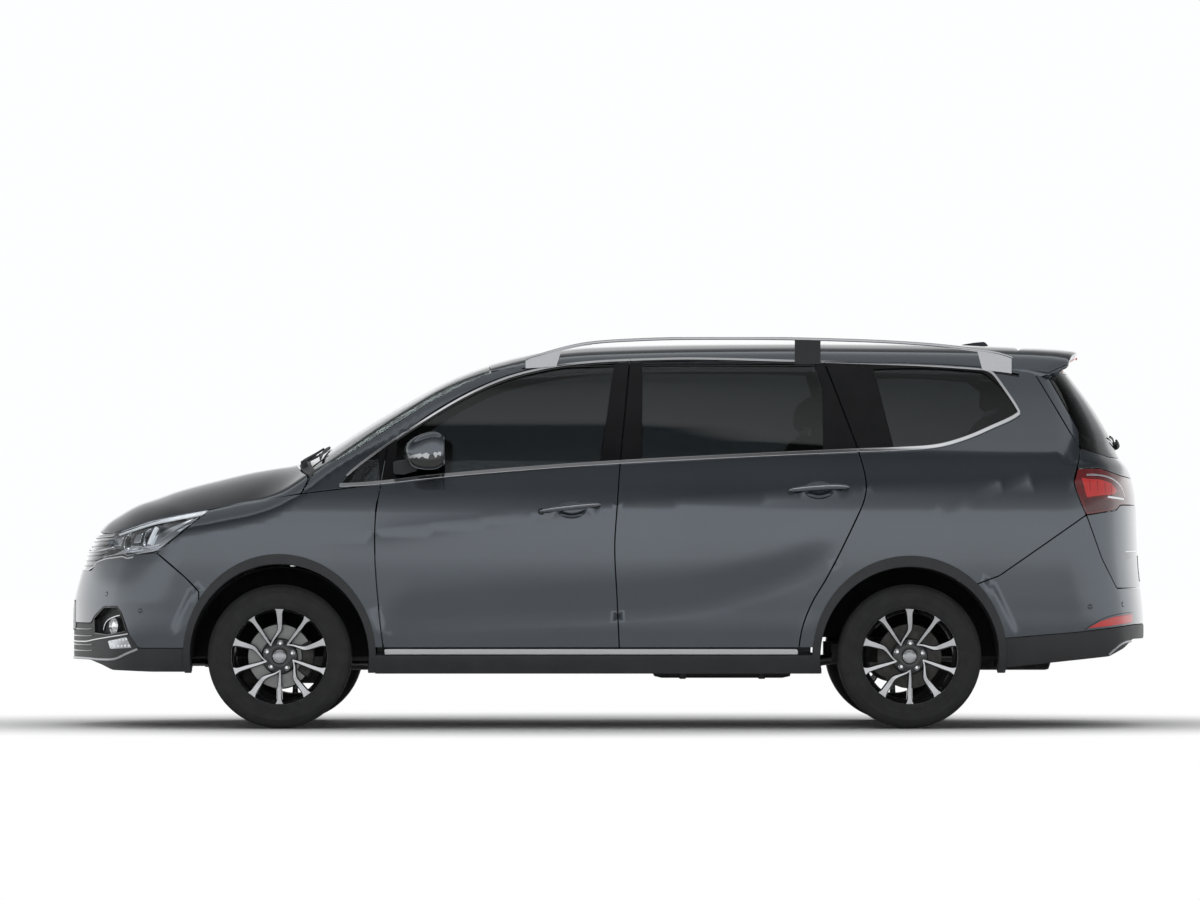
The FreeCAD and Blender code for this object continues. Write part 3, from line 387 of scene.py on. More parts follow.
def new_object(name, points, faces, look, body, normals=None, marks=None):
    """A mesh object from points in millimetres, riding on a body; marks pick each face's material.

    Points past the CAD box, or nearer to its faces than the insets, are pressed in to it. At the nose and tail
    the plate's holder stands proudest, then the blank plate, then all the rest, so that none of them coincide.
    """
    end = END_INSETS[0] if "plate_holder" in name else END_INSETS[1] if "plate_blank" in name else END_INSETS[2]
    points = np.clip(np.asarray(points, float), np.array(CAD_BOX[0][:]) / MM + (end, BOX_INSET, 0),
                     np.array(CAD_BOX[1][:]) / MM - (end, BOX_INSET, BOX_INSET))
    mesh = bpy.data.meshes.new(name)
    mesh.from_pydata((np.asarray(points) * MM).tolist(), [], [list(map(int, f)) for f in faces])
    materials = look if isinstance(look, (list, tuple)) else [look]
    for m in materials:
        mesh.materials.append(m)
    if marks is not None:
        mesh.polygons.foreach_set("material_index", np.asarray(marks, np.int32))
    mesh.polygons.foreach_set("use_smooth", [True] * len(mesh.polygons))
    if normals is not None:
        mesh.normals_split_custom_set_from_vertices(np.asarray(normals).tolist())
    obj = bpy.data.objects.new(name, mesh)
    bpy.context.scene.collection.objects.link(obj)
    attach(obj, body)
    return obj


def flip_y(points):
    return np.asarray(points) * np.array([1, -1, 1])


def triangles(cloud, loops):
    """Flat points and loops joined into triangles that keep every loop's edges."""
    points, edges, total = [cloud], [], len(cloud)
    for l in loops:
        n = len(l)
        edges += [(total + i, total + (i + 1) % n) for i in range(n)]
        points.append(l)
        total += n
    places = [Vector(p) for p in np.concatenate(points).tolist()]
    verts, _, faces, _, _, _ = delaunay_2d_cdt(places, edges, [], 0, 1e-4)
    return np.array([v[:] for v in verts]), np.array([f for f in faces if len(f) == 3])


# Free places round a panel's fixed lines, in pitches, and inside its edges, in widths of the drawn-in border
LINE_CLEAR, EDGE_CLEAR, LEAST_EDGE = .45, 2.2, 3


def sheet(name, way, loops, holes=(), look=None, body="body", pitch=28.0, gap=2.5, lip=14.0, depth=0.0,
          lines=(), both=True, plain=False, soft=1.5, thick=0.0, raise_by=0.0):
    """A panel of the body's skin: the place inside the loops and outside the holes, with turned-in edges.

    With both, the panel is made on the left and mirrored to the right; body may name a pair. The panel is drawn
    in by the gap, rounded by soft, turned in by the lip, and lies a depth inside the body or raised over it.
    """
    loops = [np.asarray(l, float) for l in loops]
    holes = [np.asarray(l, float) for l in holes]
    low = np.min([l.min(0) for l in loops], 0)
    high = np.max([l.max(0) for l in loops], 0)
    gu, gv = np.meshgrid(np.arange(low[0], high[0], pitch), np.arange(low[1], high[1], pitch))
    gu[::2] += pitch / 2
    cloud = np.stack([gu.ravel(), gv.ravel()], -1)
    for line in lines:
        cloud = np.concatenate([cloud[distance_to(line, cloud, False) > pitch * LINE_CLEAR], line])
    inside = np.zeros(len(cloud), bool)
    for l in loops:
        inside |= holds(l, cloud)
    cloud = cloud[inside]
    for l in loops + holes:
        cloud = cloud[distance_to(l, cloud) > max(gap + soft, LEAST_EDGE) * EDGE_CLEAR]
    for l in holes:
        cloud = cloud[~holds(l, cloud)]
    uv, tri = triangles(cloud, loops + holes)
    middle = uv[tri].mean(1)
    keep = np.zeros(len(tri), bool)
    for l in loops:
        keep |= holds(l, middle)
    for l in holes:
        keep &= ~holds(l, middle)
    tri = tri[keep]
    used, back = np.unique(tri, return_inverse=True)
    uv, tri = uv[used], back.reshape(-1, 3)
    pos = lift(way, uv, depth, plain)
    norm = normals_at(pos, plain)
    pos = pos + norm * raise_by
    a, b, c = pos[tri[:, 0]], pos[tri[:, 1]], pos[tri[:, 2]]
    turn = np.einsum("ij,ij->i", np.cross(b - a, c - a), norm[tri[:, 0]]) < 0
    tri[turn] = tri[turn][:, ::-1]
    pos, norm, tri = with_edges(pos, norm, tri, gap, lip, soft, thick)
    names = [(name + "_left", -1), (name + "_right", 1)] if both else [(name, -1)]
    bodies = body if isinstance(body, (tuple, list)) else (body, body)
    made = []
    for (label, sign), on in zip(names, bodies):
        if sign < 0:
            made.append(new_object(label, pos, tri, look, on, norm))
        else:
            made.append(new_object(label, flip_y(pos), tri[:, ::-1], look, on, flip_y(norm)))
    return made


SQUARE_HALF, WIDEST_CORNER = .7071, 1.6


def with_edges(pos, norm, tri, gap, lip, soft, thick):
    """Draws a panel's border in by the gap, rounds it and turns it inwards; a thick panel gets a back."""
    sides = np.concatenate([tri[:, [0, 1]], tri[:, [1, 2]], tri[:, [2, 0]]])
    key = {}
    for s, e in sides.tolist():
        key[(s, e)] = key.get((s, e), 0) + 1
    rim = [(s, e) for (s, e) in key if (e, s) not in key]
    if not rim or lip <= 0:
        return pos, norm, tri
    outward = np.zeros_like(pos)
    for s, e in rim:
        along = pos[e] - pos[s]
        out = np.cross(along, norm[s] + norm[e])
        size = np.linalg.norm(out)
        if size > 1e-9:
            outward[s] += out / size
            outward[e] += out / size
    edge = np.unique(np.array(rim))
    size = np.linalg.norm(outward[edge], axis=1, keepdims=True)
    size = np.where(size < 1e-6, 1, size)
    corner = np.clip(2 / size, 1, WIDEST_CORNER)
    out = outward[edge] / size
    out = out - np.einsum("ij,ij->i", out, norm[edge])[:, None] * norm[edge]
    out /= np.maximum(np.linalg.norm(out, axis=1, keepdims=True), 1e-9)
    n = norm[edge]
    shift = (gap + soft) * corner
    pos = pos.copy()
    pos[edge] = pos[edge] - out * shift
    base = pos[edge]
    rings = [(base + out * soft * .7 - n * soft * .3, (n + out) * SQUARE_HALF),
             (base + out * soft - n * soft, out),
             (base + out * soft - n * lip, out)]
    where = {int(v): i for i, v in enumerate(edge)}
    count = len(pos)
    all_pos, all_norm, all_tri = [pos], [norm], [tri]
    before = {int(v): int(v) for v in edge}
    for ring, ring_normal in rings:
        all_pos.append(ring)
        all_norm.append(ring_normal)
        now = {int(v): count + i for v, i in where.items()}
        quads = []
        for s, e in rim:
            quads.append((before[s], now[s], now[e]))
            quads.append((before[s], now[e], before[e]))
        all_tri.append(np.array(quads))
        before = now
        count += len(edge)
    if thick:
        back = pos - norm * lip
        back[edge] = rings[-1][0]
        all_pos.append(back)
        all_norm.append(-norm)
        all_tri.append(tri[:, ::-1] + count)
    return np.concatenate(all_pos), np.concatenate(all_norm), np.concatenate(all_tri)


def nodes_of(m):
    tree = m.node_tree
    return tree.nodes, tree.links, tree.nodes["Principled BSDF"]


def coloured(c):
    return (c[0], c[1], c[2], 1.0)


def material(name, slot, color, rough, metal=0.0, coat=0.0, coat_rough=.03, vary=.10, vary_scale=9.0, grain=0.0,
             grain_scale=900.0, rough_vary=.06, spec=.5, transmission=0.0, ior=1.45, sheen=0.0, stretch=None,
             emission=None, strength=0.0):
    """A surface whose colour drifts a little, with a fine grain and uneven roughness."""
    m = bpy.data.materials.new(name)
    m.use_nodes = True
    m["slot"] = slot
    m.diffuse_color = coloured(color)
    nodes, links, shader = nodes_of(m)
    shader.inputs["Metallic"].default_value = metal
    shader.inputs["Coat Weight"].default_value = coat
    shader.inputs["Coat Roughness"].default_value = coat_rough
    shader.inputs["Specular IOR Level"].default_value = spec
    shader.inputs["Transmission Weight"].default_value = transmission
    shader.inputs["IOR"].default_value = ior
    shader.inputs["Sheen Weight"].default_value = sheen
    if emission:
        shader.inputs["Emission Color"].default_value = coloured(emission)
        shader.inputs["Emission Strength"].default_value = strength
    place = nodes.new("ShaderNodeTexCoord").outputs["Object"]
    if stretch:
        mapping = nodes.new("ShaderNodeMapping")
        mapping.inputs["Scale"].default_value = stretch
        links.new(place, mapping.inputs["Vector"])
        place = mapping.outputs["Vector"]
    slow = nodes.new("ShaderNodeTexNoise")
    slow.inputs["Scale"].default_value = vary_scale
    slow.inputs["Detail"].default_value = 4
    links.new(place, slow.inputs["Vector"])
    ramp = nodes.new("ShaderNodeValToRGB")
    ramp.color_ramp.elements[0].position = .32
    ramp.color_ramp.elements[1].position = .68
    ramp.color_ramp.elements[0].color = coloured([c * (1 - vary) for c in color])
    ramp.color_ramp.elements[1].color = coloured([min(c * (1 + vary), 1) for c in color])
    links.new(slow.outputs["Fac"], ramp.inputs["Fac"])
    links.new(ramp.outputs["Color"], shader.inputs["Base Color"])
    fine = nodes.new("ShaderNodeTexNoise")
    fine.inputs["Scale"].default_value = grain_scale
    fine.inputs["Detail"].default_value = 3
    links.new(place, fine.inputs["Vector"])
    spread = nodes.new("ShaderNodeMapRange")
    spread.inputs["To Min"].default_value = max(rough - rough_vary, 0)
    spread.inputs["To Max"].default_value = min(rough + rough_vary, 1)
    links.new(slow.outputs["Fac"], spread.inputs["Value"])
    links.new(spread.outputs["Result"], shader.inputs["Roughness"])
    if grain:
        bump = nodes.new("ShaderNodeBump")
        bump.inputs["Strength"].default_value = grain
        bump.inputs["Distance"].default_value = .0006
        links.new(fine.outputs["Fac"], bump.inputs["Height"])
        links.new(bump.outputs["Normal"], shader.inputs["Normal"])
    return m


def flaked(m, size=1400.0, amount=.10):
    """Metallic flakes: small cells, each a little lighter or darker than the next."""
    nodes, links, shader = nodes_of(m)
    cells = nodes.new("ShaderNodeTexVoronoi")
    cells.inputs["Scale"].default_value = size
    links.new(nodes["Texture Coordinate"].outputs["Object"], cells.inputs["Vector"])
    grey = nodes.new("ShaderNodeSeparateColor")
    links.new(cells.outputs["Color"], grey.inputs["Color"])
    spread = nodes.new("ShaderNodeMapRange")
    spread.inputs["To Min"].default_value = 1 - amount
    spread.inputs["To Max"].default_value = 1 + amount
    links.new(grey.outputs["Red"], spread.inputs["Value"])
    scale = nodes.new("ShaderNodeVectorMath")
    scale.operation = "SCALE"
    links.new(nodes["Color Ramp"].outputs["Color"], scale.inputs["Vector"])
    links.new(spread.outputs["Result"], scale.inputs["Scale"])
    links.new(scale.outputs["Vector"], shader.inputs["Base Color"])
    return m


PAINT = flaked(material("paint", "paint", (.105, .121, .141), .22, metal=.92, coat=1.0, vary=.03, vary_scale=2.0,
                        rough_vary=.02))
GLASS = material("side_glass", "glass", (.105, .118, .125), .0, transmission=1.0, vary=.02, rough_vary=0, ior=1.45)
CLEAR_GLASS = material("windscreen_glass", "glass", (.45, .50, .50), .0, transmission=1.0, vary=.02, rough_vary=0)
BLACK_GLOSS = material("gloss_black", "gloss_black", (.012, .012, .013), .10, coat=1.0, vary=.2, rough_vary=.03)
PILLAR_BLACK = material("pillar_black", "gloss_black", (.006, .006, .007), .28, vary=.2, rough_vary=.03, spec=.25)
BLACK_PLASTIC = material("grained_black_plastic", "black_plastic", (.030, .031, .033), .48, grain=.5, grain_scale=1500,
                         vary=.12)
CLADDING = material("cladding_plastic", "black_plastic", (.040, .041, .044), .42, grain=.35, grain_scale=1300, vary=.10)
CHROME = material("bright_chrome", "chrome", (.80, .81, .83), .09, metal=1.0, vary=.02, rough_vary=.03)
SATIN = material("satin_silver", "chrome", (.52, .53, .55), .26, metal=1.0, vary=.04, rough_vary=.05)
RUBBER = material("tyre_rubber", "tyre", (.022, .022, .023), .62, grain=.5, grain_scale=1100, vary=.22, vary_scale=20)
RIM_FACE = material("machined_face", "rim", (.66, .67, .69), .20, metal=1.0, grain=.25, grain_scale=700, vary=.04,
                    rough_vary=.06, stretch=(1, 20, 1))
RIM_DARK = material("rim_black", "rim", (.016, .016, .018), .22, coat=.8, vary=.2)
IRON = material("cast_iron", "iron", (.075, .072, .070), .55, metal=.7, grain=.8, grain_scale=500, vary=.3,
                vary_scale=30)
STEEL = material("dull_steel", "steel", (.30, .30, .30), .38, metal=1.0, grain=.3, grain_scale=600, vary=.15)
FABRIC = material("seat_cloth", "fabric", (.030, .031, .034), .85, grain=1.0, grain_scale=1600, vary=.2, vary_scale=60,
                  sheen=.25)
TRIM = material("soft_trim", "interior", (.028, .028, .031), .60, grain=.6, grain_scale=1400, vary=.12)
CARPET = material("carpet", "interior", (.022, .022, .024), .95, grain=1.0, grain_scale=900, vary=.3, vary_scale=80)
LENS = material("clear_lens", "lamp_clear", (.93, .95, .97), .02, transmission=1.0, vary=.01, rough_vary=.01, ior=1.30)
REFLECTOR = material("lamp_reflector", "lamp_clear", (.74, .76, .79), .12, metal=1.0, vary=.05, rough_vary=.05)
BULB_WHITE = material("lamp_white", "lamp_clear", (.80, .82, .84), .25, vary=.03, emission=(.9, .95, 1), strength=.25)
RED_LENS = material("red_lens", "lamp_red", (.17, .010, .013), .07, coat=1.0, vary=.15, vary_scale=40, rough_vary=.03)
RED_BRIGHT = material("red_lamp_strip", "lamp_red", (.30, .018, .022), .18, coat=1.0, vary=.1, vary_scale=40,
                      emission=(1, .05, .04), strength=.25)
RED_DARK = material("red_dark", "lamp_red", (.10, .006, .009), .12, coat=1.0, vary=.2, vary_scale=40)


def carry(node, m):
    """A CAD node that stays shown, with a finish of its own."""
    mesh = frame["nodes"][node].data
    mesh.materials.clear()
    mesh.materials.append(m)


# Past the ends of the car, for places in the middle of the nose or tail
NOSE_MID, TAIL_MID = 50, 1160
# Outlines of the near side, in pixels
DOOR_NOSE_px = ((386.8, 446), (380.5, 482.6), (375.3, 514), (374.6, 556), (378.4, 609), (383, 648.2))
CENTRE_SEAM_px = ((619.4, 648.2), (617.2, 600), (614.8, 548), (617.3, 505.8), (620.4, 461.6), (624.9, 415.7),
                  (630.6, 355.4))
FRONT_DOOR_TOP_px = ((630.6, 355.4), (579.6, 358.6), (541.3, 364.5), (503, 375), (464.8, 392), (426.5, 415),
                     (386.8, 446))
REAR_DOOR_TAIL_px = ((799.5, 648.2), (804, 624), (813.4, 601), (825.4, 581), (837.5, 558.4), (845.5, 542.3),
                     (857.6, 516.9), (864.3, 500.8), (866.9, 486), (864.9, 470), (859.2, 450), (844.9, 410),
                     (826.7, 360.2))
REAR_DOOR_TOP_px = ((826.7, 360.2), (791, 357), (695.7, 353.8), (630.6, 355.4))
BELT_LINE_px = ((339, 484.9), (370, 483.4), (437.3, 476.0), (530, 468), (620, 461.8), (740, 455.5), (859, 450.1),
                (900, 448.6), (939, 445.5), (968.6, 437.2), (998.3, 424.6), (1014, 417.5), (1022.5, 412.0))
UPPER_LINE_px = ((346, 475.5), (360, 463.5), (386.3, 444.4), (426.5, 417.6), (464.8, 394.8), (503, 377.6),
                 (541.3, 367.1), (579.6, 361.3), (630, 358.1), (695.7, 356.7), (791, 359.0), (860, 361.2),
                 (929, 363.8), (988.4, 367.8))
TAIL_CORNER_px = ((988.4, 367.8), (996.3, 371.2), (1004, 381.3), (1018, 403), (1022.5, 412.0))
FRONT_GLASS_px = (((396, 472.5), (397, 439.5)),
                  ((397, 439.5), (426.5, 420), (464.8, 397), (503, 380), (541, 369.5), (579.6, 363.7), (614, 361.0)),
                  ((614, 361.0), (607, 412), (599.7, 462.5)),
                  ((599.7, 462.5), (520, 467.8), (437, 474.5), (396, 479.5)), ((396, 479.5), (396, 472.5)))
REAR_GLASS_px = (((642.5, 459.5), (643.6, 360.5)), ((643.6, 360.5), (730, 359.8), (816, 362.5)),
                 ((816, 362.5), (823.5, 389)), ((823.5, 389), (823.5, 451)),
                 ((823.5, 451), (730, 454.5), (642.5, 459.5)))
QUARTER_GLASS_px = (((895.6, 447), (877.4, 368)), ((877.4, 368), (929, 367), (986, 371)),
                    ((986, 371), (1002, 384), (1016, 402), (1020, 411)),
                    ((1020, 411), (998.3, 421.5), (968.6, 434), (939, 443), (895.6, 447)))
CORNER_GLASS_px = (((349, 483.5), (357, 468)), ((357, 468), (366, 459.5), (377, 451)), ((377, 451), (378.5, 482)),
                   ((378.5, 482), (349, 483.5)))
FENDER_TOP_px = ((209, 509.6), (255, 500.5), (300.4, 493.6), (340, 488.8), (380.4, 483.4))
FENDER_TAIL_px = ((378.4, 495), (375.3, 514), (374.6, 556), (378.4, 609), (383, 648.2))
QUARTER_LOW_px = (((383, 648.2), (960, 648.2)), ((960, 648.2), (960, 592)), ((960, 592), (981, 583), (1000, 576)),
                  ((1000, 576), (1088.4, 514.8)))
FENDER_NOSE_px = ((198.2, 591.8), (184.2, 577.2), (155.5, 552.9), (209, 509.6))
HOOD_EDGE_px = ((94, 531.5), (110, 532), (150, 519.5), (208.4, 509), (300.6, 493.5), (315, 467.4), (322, 440))
LAMP_px = ((109.8, 532.6), (150, 520.2), (209, 509.6), (182, 530), (155.5, 552.9), (119.5, 555.3), (95.3, 559))
PILLAR_EDGE_px = ((316, 467.4), (347, 452.8), (388, 427), (426.5, 402.3), (465, 381), (501, 367), (522, 360))
TAILGATE_EDGE_px = ((1026.3, 349.8), (1043, 377.3), (1072.8, 430), (1083.2, 447), (1082.6, 456), (1076.2, 480.6),
                    (1079, 492), (1088.4, 514.8), (1104.6, 558.7), (1120.6, 588.6))
TAIL_LAMP_px = ((1080.3, 468.4), (1103.5, 467.8), (1126.7, 474.8), (TAIL_MID, 480), (TAIL_MID, 504),
                (1125.5, 504.4), (1120.9, 509.6), (1088.4, 514.8), (1079, 492), (1076.2, 480.6))


def line_px(points, at=near, pitch=12.0, curved=True):
    return dense([at(*p) for p in points], pitch, curved)


def turns_of(count):
    """Angles round a full turn."""
    return np.arange(count) * 2 * math.pi / count


def circle(x, z, radius, pitch=14.0):
    turn = turns_of(int(2 * math.pi * radius / pitch))
    return np.stack([x + radius * np.cos(turn), z + radius * np.sin(turn)], -1)


def crease_rows(low, high):
    """Lines beside the two creases, so that the side's faces follow them."""
    x = np.arange(low, high, 22.0)
    rows = [np.stack([x, crease_line(x) + off], -1) for off in (-16, -6, -1.2, 1.2, 7, 18)]
    rows += [np.stack([x, low_crease_line(x) + off], -1) for off in (-40, -24, -12, -5, 0, 5, 14)]
    return rows


front_door = loop_of(*px_runs(DOOR_NOSE_px, (DOOR_NOSE_px[-1], CENTRE_SEAM_px[0]), CENTRE_SEAM_px,
                              FRONT_DOOR_TOP_px))
rear_door = loop_of(*px_runs(CENTRE_SEAM_px[::-1], (CENTRE_SEAM_px[0], REAR_DOOR_TAIL_px[0]), REAR_DOOR_TAIL_px,
                             REAR_DOOR_TOP_px))
front_glass = loop_of(*px_runs(*FRONT_GLASS_px))
rear_glass = loop_of(*px_runs(*REAR_GLASS_px))
quarter_glass = loop_of(*px_runs(*QUARTER_GLASS_px))
corner_glass = loop_of(*px_runs(*CORNER_GLASS_px))
glasshouse = loop_of(*px_runs(BELT_LINE_px, TAIL_CORNER_px[::-1], UPPER_LINE_px[::-1],
                              (UPPER_LINE_px[0], BELT_LINE_px[0])))
fender = loop_of(*px_runs(FENDER_TOP_px, (FENDER_TOP_px[-1], FENDER_TAIL_px[0]), FENDER_TAIL_px,
                          ((383, 648.2), (198.2, 648.2)), ((198.2, 648.2), FENDER_NOSE_px[0]),
                          FENDER_NOSE_px[:3], FENDER_NOSE_px[2:]))
rows = crease_rows(-1400, 2250)
for axle in (FRONT_AXLE, REAR_AXLE):
    rows += [circle(axle, WHEEL_Z, r, 20.0) for r in (448, 454, 461, 469, 477, 484, 490)]
SIDE = dict(way="side", look=PAINT, lines=rows)


# Middles of the door handles; half width and height of the hole behind them, and of the recess with its depth
HANDLE_px = {"front_door": (571.5, 509.2), "rear_door": (819.5, 489.9)}
HAND_HOLE, HAND_BOWL = (62.0, 37.0), (66, 41, 19)


def make_doors():
    """Painted door skins up to the belt, gloss black frames round the glass, and the inner trim."""
    for name, door, pane, pair in (("front_door", front_door, front_glass, FRONT_DOORS),
                                   ("rear_door", rear_door, rear_glass, REAR_DOORS)):
        hand = circle(*near(*HANDLE_px[name]), 1.0, .15)
        middle = hand.mean(0)
        hand = middle + (hand - middle) * np.array(HAND_HOLE)
        skin = sheet(name + "_skin", loops=[door], holes=[pane, hand], body=pair, lip=24, **SIDE)
        for piece, node in zip(skin, pair):
            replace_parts(piece, node)
        sheet(name + "_frame_black", "side", [clip_loop(door, glasshouse)], [pane], PILLAR_BLACK, pair, gap=3.2,
              lip=5, raise_by=.8, plain=True, soft=.8)
        sheet(name + "_lining", "side", [door], [pane], TRIM, pair, gap=20, lip=0, depth=34, plain=True)
        panes = sheet(name + "_pane", "side", [pane], (), GLASS, pair, gap=-3, lip=3.6, depth=5, plain=True, thick=1,
                      soft=.4)
        for piece, node in zip(panes, pair):
            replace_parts(piece, node.replace("door", "glass"))


def clip_loop(loop, other):
    """Where two flat loops overlap, as one loop: the border of the triangles that lie in both."""
    uv, tri = triangles(np.zeros((0, 2)), [loop, other])
    middle = uv[tri].mean(1)
    tri = tri[holds(loop, middle) & holds(other, middle)]
    return border(uv, tri)


def border(uv, tri):
    """The longest closed line round the triangles."""
    sides = dict.fromkeys(pair for a, b, c in tri.tolist() for pair in ((a, b), (b, c), (c, a)))
    rim = {s: e for (s, e) in sides if (e, s) not in sides}
    best = []
    left = rim.copy()
    while left:
        start = next(iter(left))
        chain, at = [start], left.pop(start)
        while at != start and at in left:
            chain.append(at)
            at = left.pop(at)
        if len(chain) > len(best):
            best = chain
    return uv[best]


make_doors()


def ellipse_loop(axle, wide, tall, pitch=12.0):
    """A wheel arch's edge in the side view."""
    turn = turns_of(int(2 * math.pi * wide / pitch))
    return np.stack([axle + wide * np.cos(turn), WHEEL_Z + tall * np.sin(turn)], -1)


# Of each wheel arch: its axle's X, half width and height of the opening, then those of the trim round it
ARCHES = ((FRONT_AXLE, 390.0, 403.0, 421.0, 447.0), (REAR_AXLE, 390.0, 391.0, 425.0, 440.0))
ROOF_HALF = 612.0
BOW_HALF = 950.0
HOOD_BACK, COWL_FRONT, COWL_BACK, SCREEN_FOOT = (-1385, 95), (-1379, 95), (-1322, 62), (-1330, 68)
HEAD_BOW = 53
UP = np.array([0, 0, 1.0])
TAIL_SEAM_X = near(1026.3, 0)[0]


def bowed(line, y):
    """X of a line across the car, from its place in the middle and how far back it lies at BOW_HALF."""
    middle, back = line
    return middle + back * (y / BOW_HALF) ** 2


def on_roof(x, y):
    """Points of the roof over these places."""
    return cast(np.stack([x, 0 * x + y, 0 * x + ROOF_START], -1), UP)


def front_skins():
    """Fenders, hood and the cowl under the windscreen."""
    wings = sheet("fender", loops=[fender], holes=[ellipse_loop(*ARCHES[0][:3])], lip=22, **SIDE)
    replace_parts(wings[0], "front_fenders")
    edge = on_side(line_px(HOOD_EDGE_px[:5] + ((303.5, 488),), curved=False))
    nose_u = np.linspace(nose_flat(edge[:1])[0, 0], 0, 30)[1:]
    lip = lift("nose", np.stack([nose_u, 0 * nose_u + near(0, 531.5)[1]], -1))
    y = np.linspace(edge[-1, 1], 0, 40)[1:]
    back = np.stack([bowed(HOOD_BACK, y), y, 0 * y], -1)
    half = np.concatenate([lip[::-1], edge, back])
    loop = np.concatenate([half, flip_y(half[1:-1])[::-1]])[:, :2]
    hood = sheet("hood_skin", "top", [loop], (), PAINT, "hood", pitch=26, lip=22, both=False)
    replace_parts(hood[0], "hood")
    y = np.linspace(edge[-1, 1] + 4, -edge[-1, 1] - 4, 70)
    cowl = np.concatenate([np.stack([bowed(COWL_FRONT, y), y], -1), np.stack([bowed(COWL_BACK, y), y], -1)[::-1]])
    sheet("cowl_panel", "top", [cowl], (), BLACK_PLASTIC, pitch=20, gap=1, lip=16, depth=4, both=False)


def shrink(loop, distance):
    """A flat loop drawn in by a distance."""
    ahead, back = np.roll(loop, -1, 0), np.roll(loop, 1, 0)
    along = ahead - back
    out = np.stack([along[:, 1], -along[:, 0]], -1)
    out /= np.maximum(np.linalg.norm(out, axis=1, keepdims=True), 1e-9)
    area = np.sum(loop[:, 0] * ahead[:, 1] - ahead[:, 0] * loop[:, 1])
    return loop - out * distance * (1 if area > 0 else -1)


def glass_and_roof():
    """Windscreen with its dark border, and the roof."""
    pillar = on_side(line_px(((318.5, 466.2),) + PILLAR_EDGE_px[1:6] + ((505, 366.2),), curved=False))
    head_x = mid(487.7, 0)[0]
    y = np.linspace(pillar[0, 1], 0, 40)[:-1]
    base = np.stack([bowed(SCREEN_FOOT, y), y, 0 * y], -1)
    y = np.linspace(pillar[-1, 1], 0, 40)[1:]
    head = np.stack([bowed((head_x, HEAD_BOW), y), y, 0 * y], -1)
    half = np.concatenate([base[::-1][:-1], pillar, head])
    loop = np.concatenate([half, flip_y(half[1:-1])[::-1]])[:, :2]
    pane = sheet("windscreen_pane", "top", [loop], (), CLEAR_GLASS, pitch=30, gap=1, lip=4.5, depth=4,
                 both=False, thick=1, soft=.4, plain=True)
    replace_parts(pane[0], "windscreen")
    sheet("windscreen_border", "top", [loop], [shrink(loop, 46)], BLACK_GLOSS, pitch=16, gap=1.2, lip=0,
          depth=8.9, both=False, plain=True)
    x = np.arange(head_x + 30, TAIL_SEAM_X - 3, 20.0)
    side = np.stack([x, 0 * x - ROOF_HALF + 4], -1)
    y = np.linspace(-ROOF_HALF + 4, 0, 30)
    front = np.stack([bowed((head_x, HEAD_BOW), y), y], -1)[::-1]
    rear = np.stack([0 * y + TAIL_SEAM_X - 2, y], -1)
    half = np.concatenate([front, side, rear])
    loop = np.concatenate([half, flip_loop(half[1:-1])])
    sheet("roof_skin", "top", [loop], (), PAINT, pitch=34, gap=1.6, lip=14, both=False)


def flip_loop(half):
    return (half * np.array([1, -1]))[::-1]


def body_sides():
    """The sides round the doors, the black pillars and the fixed side glass."""
    top = on_roof(np.arange(near(522, 0)[0], TAIL_SEAM_X, 20.0), -ROOF_HALF)[::-1][:, [0, 2]]
    rear_edge = line_px(TAILGATE_EDGE_px[:8][::-1])
    low_runs = [line_px(run)[:-1] for run in QUARTER_LOW_px]
    loop = np.concatenate([*low_runs, rear_edge, top, line_px(PILLAR_EDGE_px[::-1])[1:-1],
                           line_px(((316, 467.4), (300.4, 493.6)))[:-1], line_px(FENDER_TOP_px[2:])[:-1],
                           line_px(FENDER_TAIL_px)[:-1]])
    holes = [front_door, rear_door, quarter_glass, corner_glass, ellipse_loop(*ARCHES[1][:3])]
    pieces = sheet("side_skin", loops=[loop], holes=holes, lip=20, **SIDE)
    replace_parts(pieces[0], "body_shell")
    sheet("pillar_black", "side", [glasshouse], [front_door, rear_door, quarter_glass, corner_glass], PILLAR_BLACK,
          "body", gap=3.2, lip=5, raise_by=.8, plain=True, soft=.8)
    for name, pane in (("quarter_pane", quarter_glass), ("corner_pane", corner_glass)):
        made = sheet(name, "side", [pane], (), GLASS, gap=-3, lip=3.6, depth=5, plain=True, thick=1, soft=.4)
        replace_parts(made[0], "fixed_side_glass")


def end_loop(px_points, way, curved=False, pitch=12.0):
    """A loop round both sides of the nose or tail, from the half of it drawn in the side view."""
    flat = WAYS[way][1](on_end(dense([near(*p) for p in px_points], pitch, curved), way))
    flat[0, 0] = 0
    flat[-1, 0] = 0
    return np.concatenate([flat, flip_u(flat[1:-1])])


def flip_u(half):
    return (half * np.array([-1, 1]))[::-1]


def pair_of(loop):
    """A loop and its mirror image on the other side of the nose or tail."""
    return [loop, loop * np.array([-1, 1])]


def side_loop(px_points, way, pitch=10.0, curved=False):
    return WAYS[way][1](on_end(dense([near(*p) for p in px_points + px_points[:1]], pitch, curved)[:-1], way))


def arch_hole(way, wide, tall, axle, limit):
    """The part of a wheel arch that reaches into the unrolled nose or tail, as a hole open to the side."""
    loop = ellipse_loop(axle, wide, tall)
    sign = -1 if way == "nose" else 1
    part = loop[(loop[:, 0] - limit) * sign > 0]
    part = part[np.argsort(-part[:, 1] * sign)]
    flat = WAYS[way][1](on_end(part, way))
    edge = np.array([[END_REACH, flat[-1, 1]], [END_REACH, flat[0, 1]]])
    return np.concatenate([flat, edge])


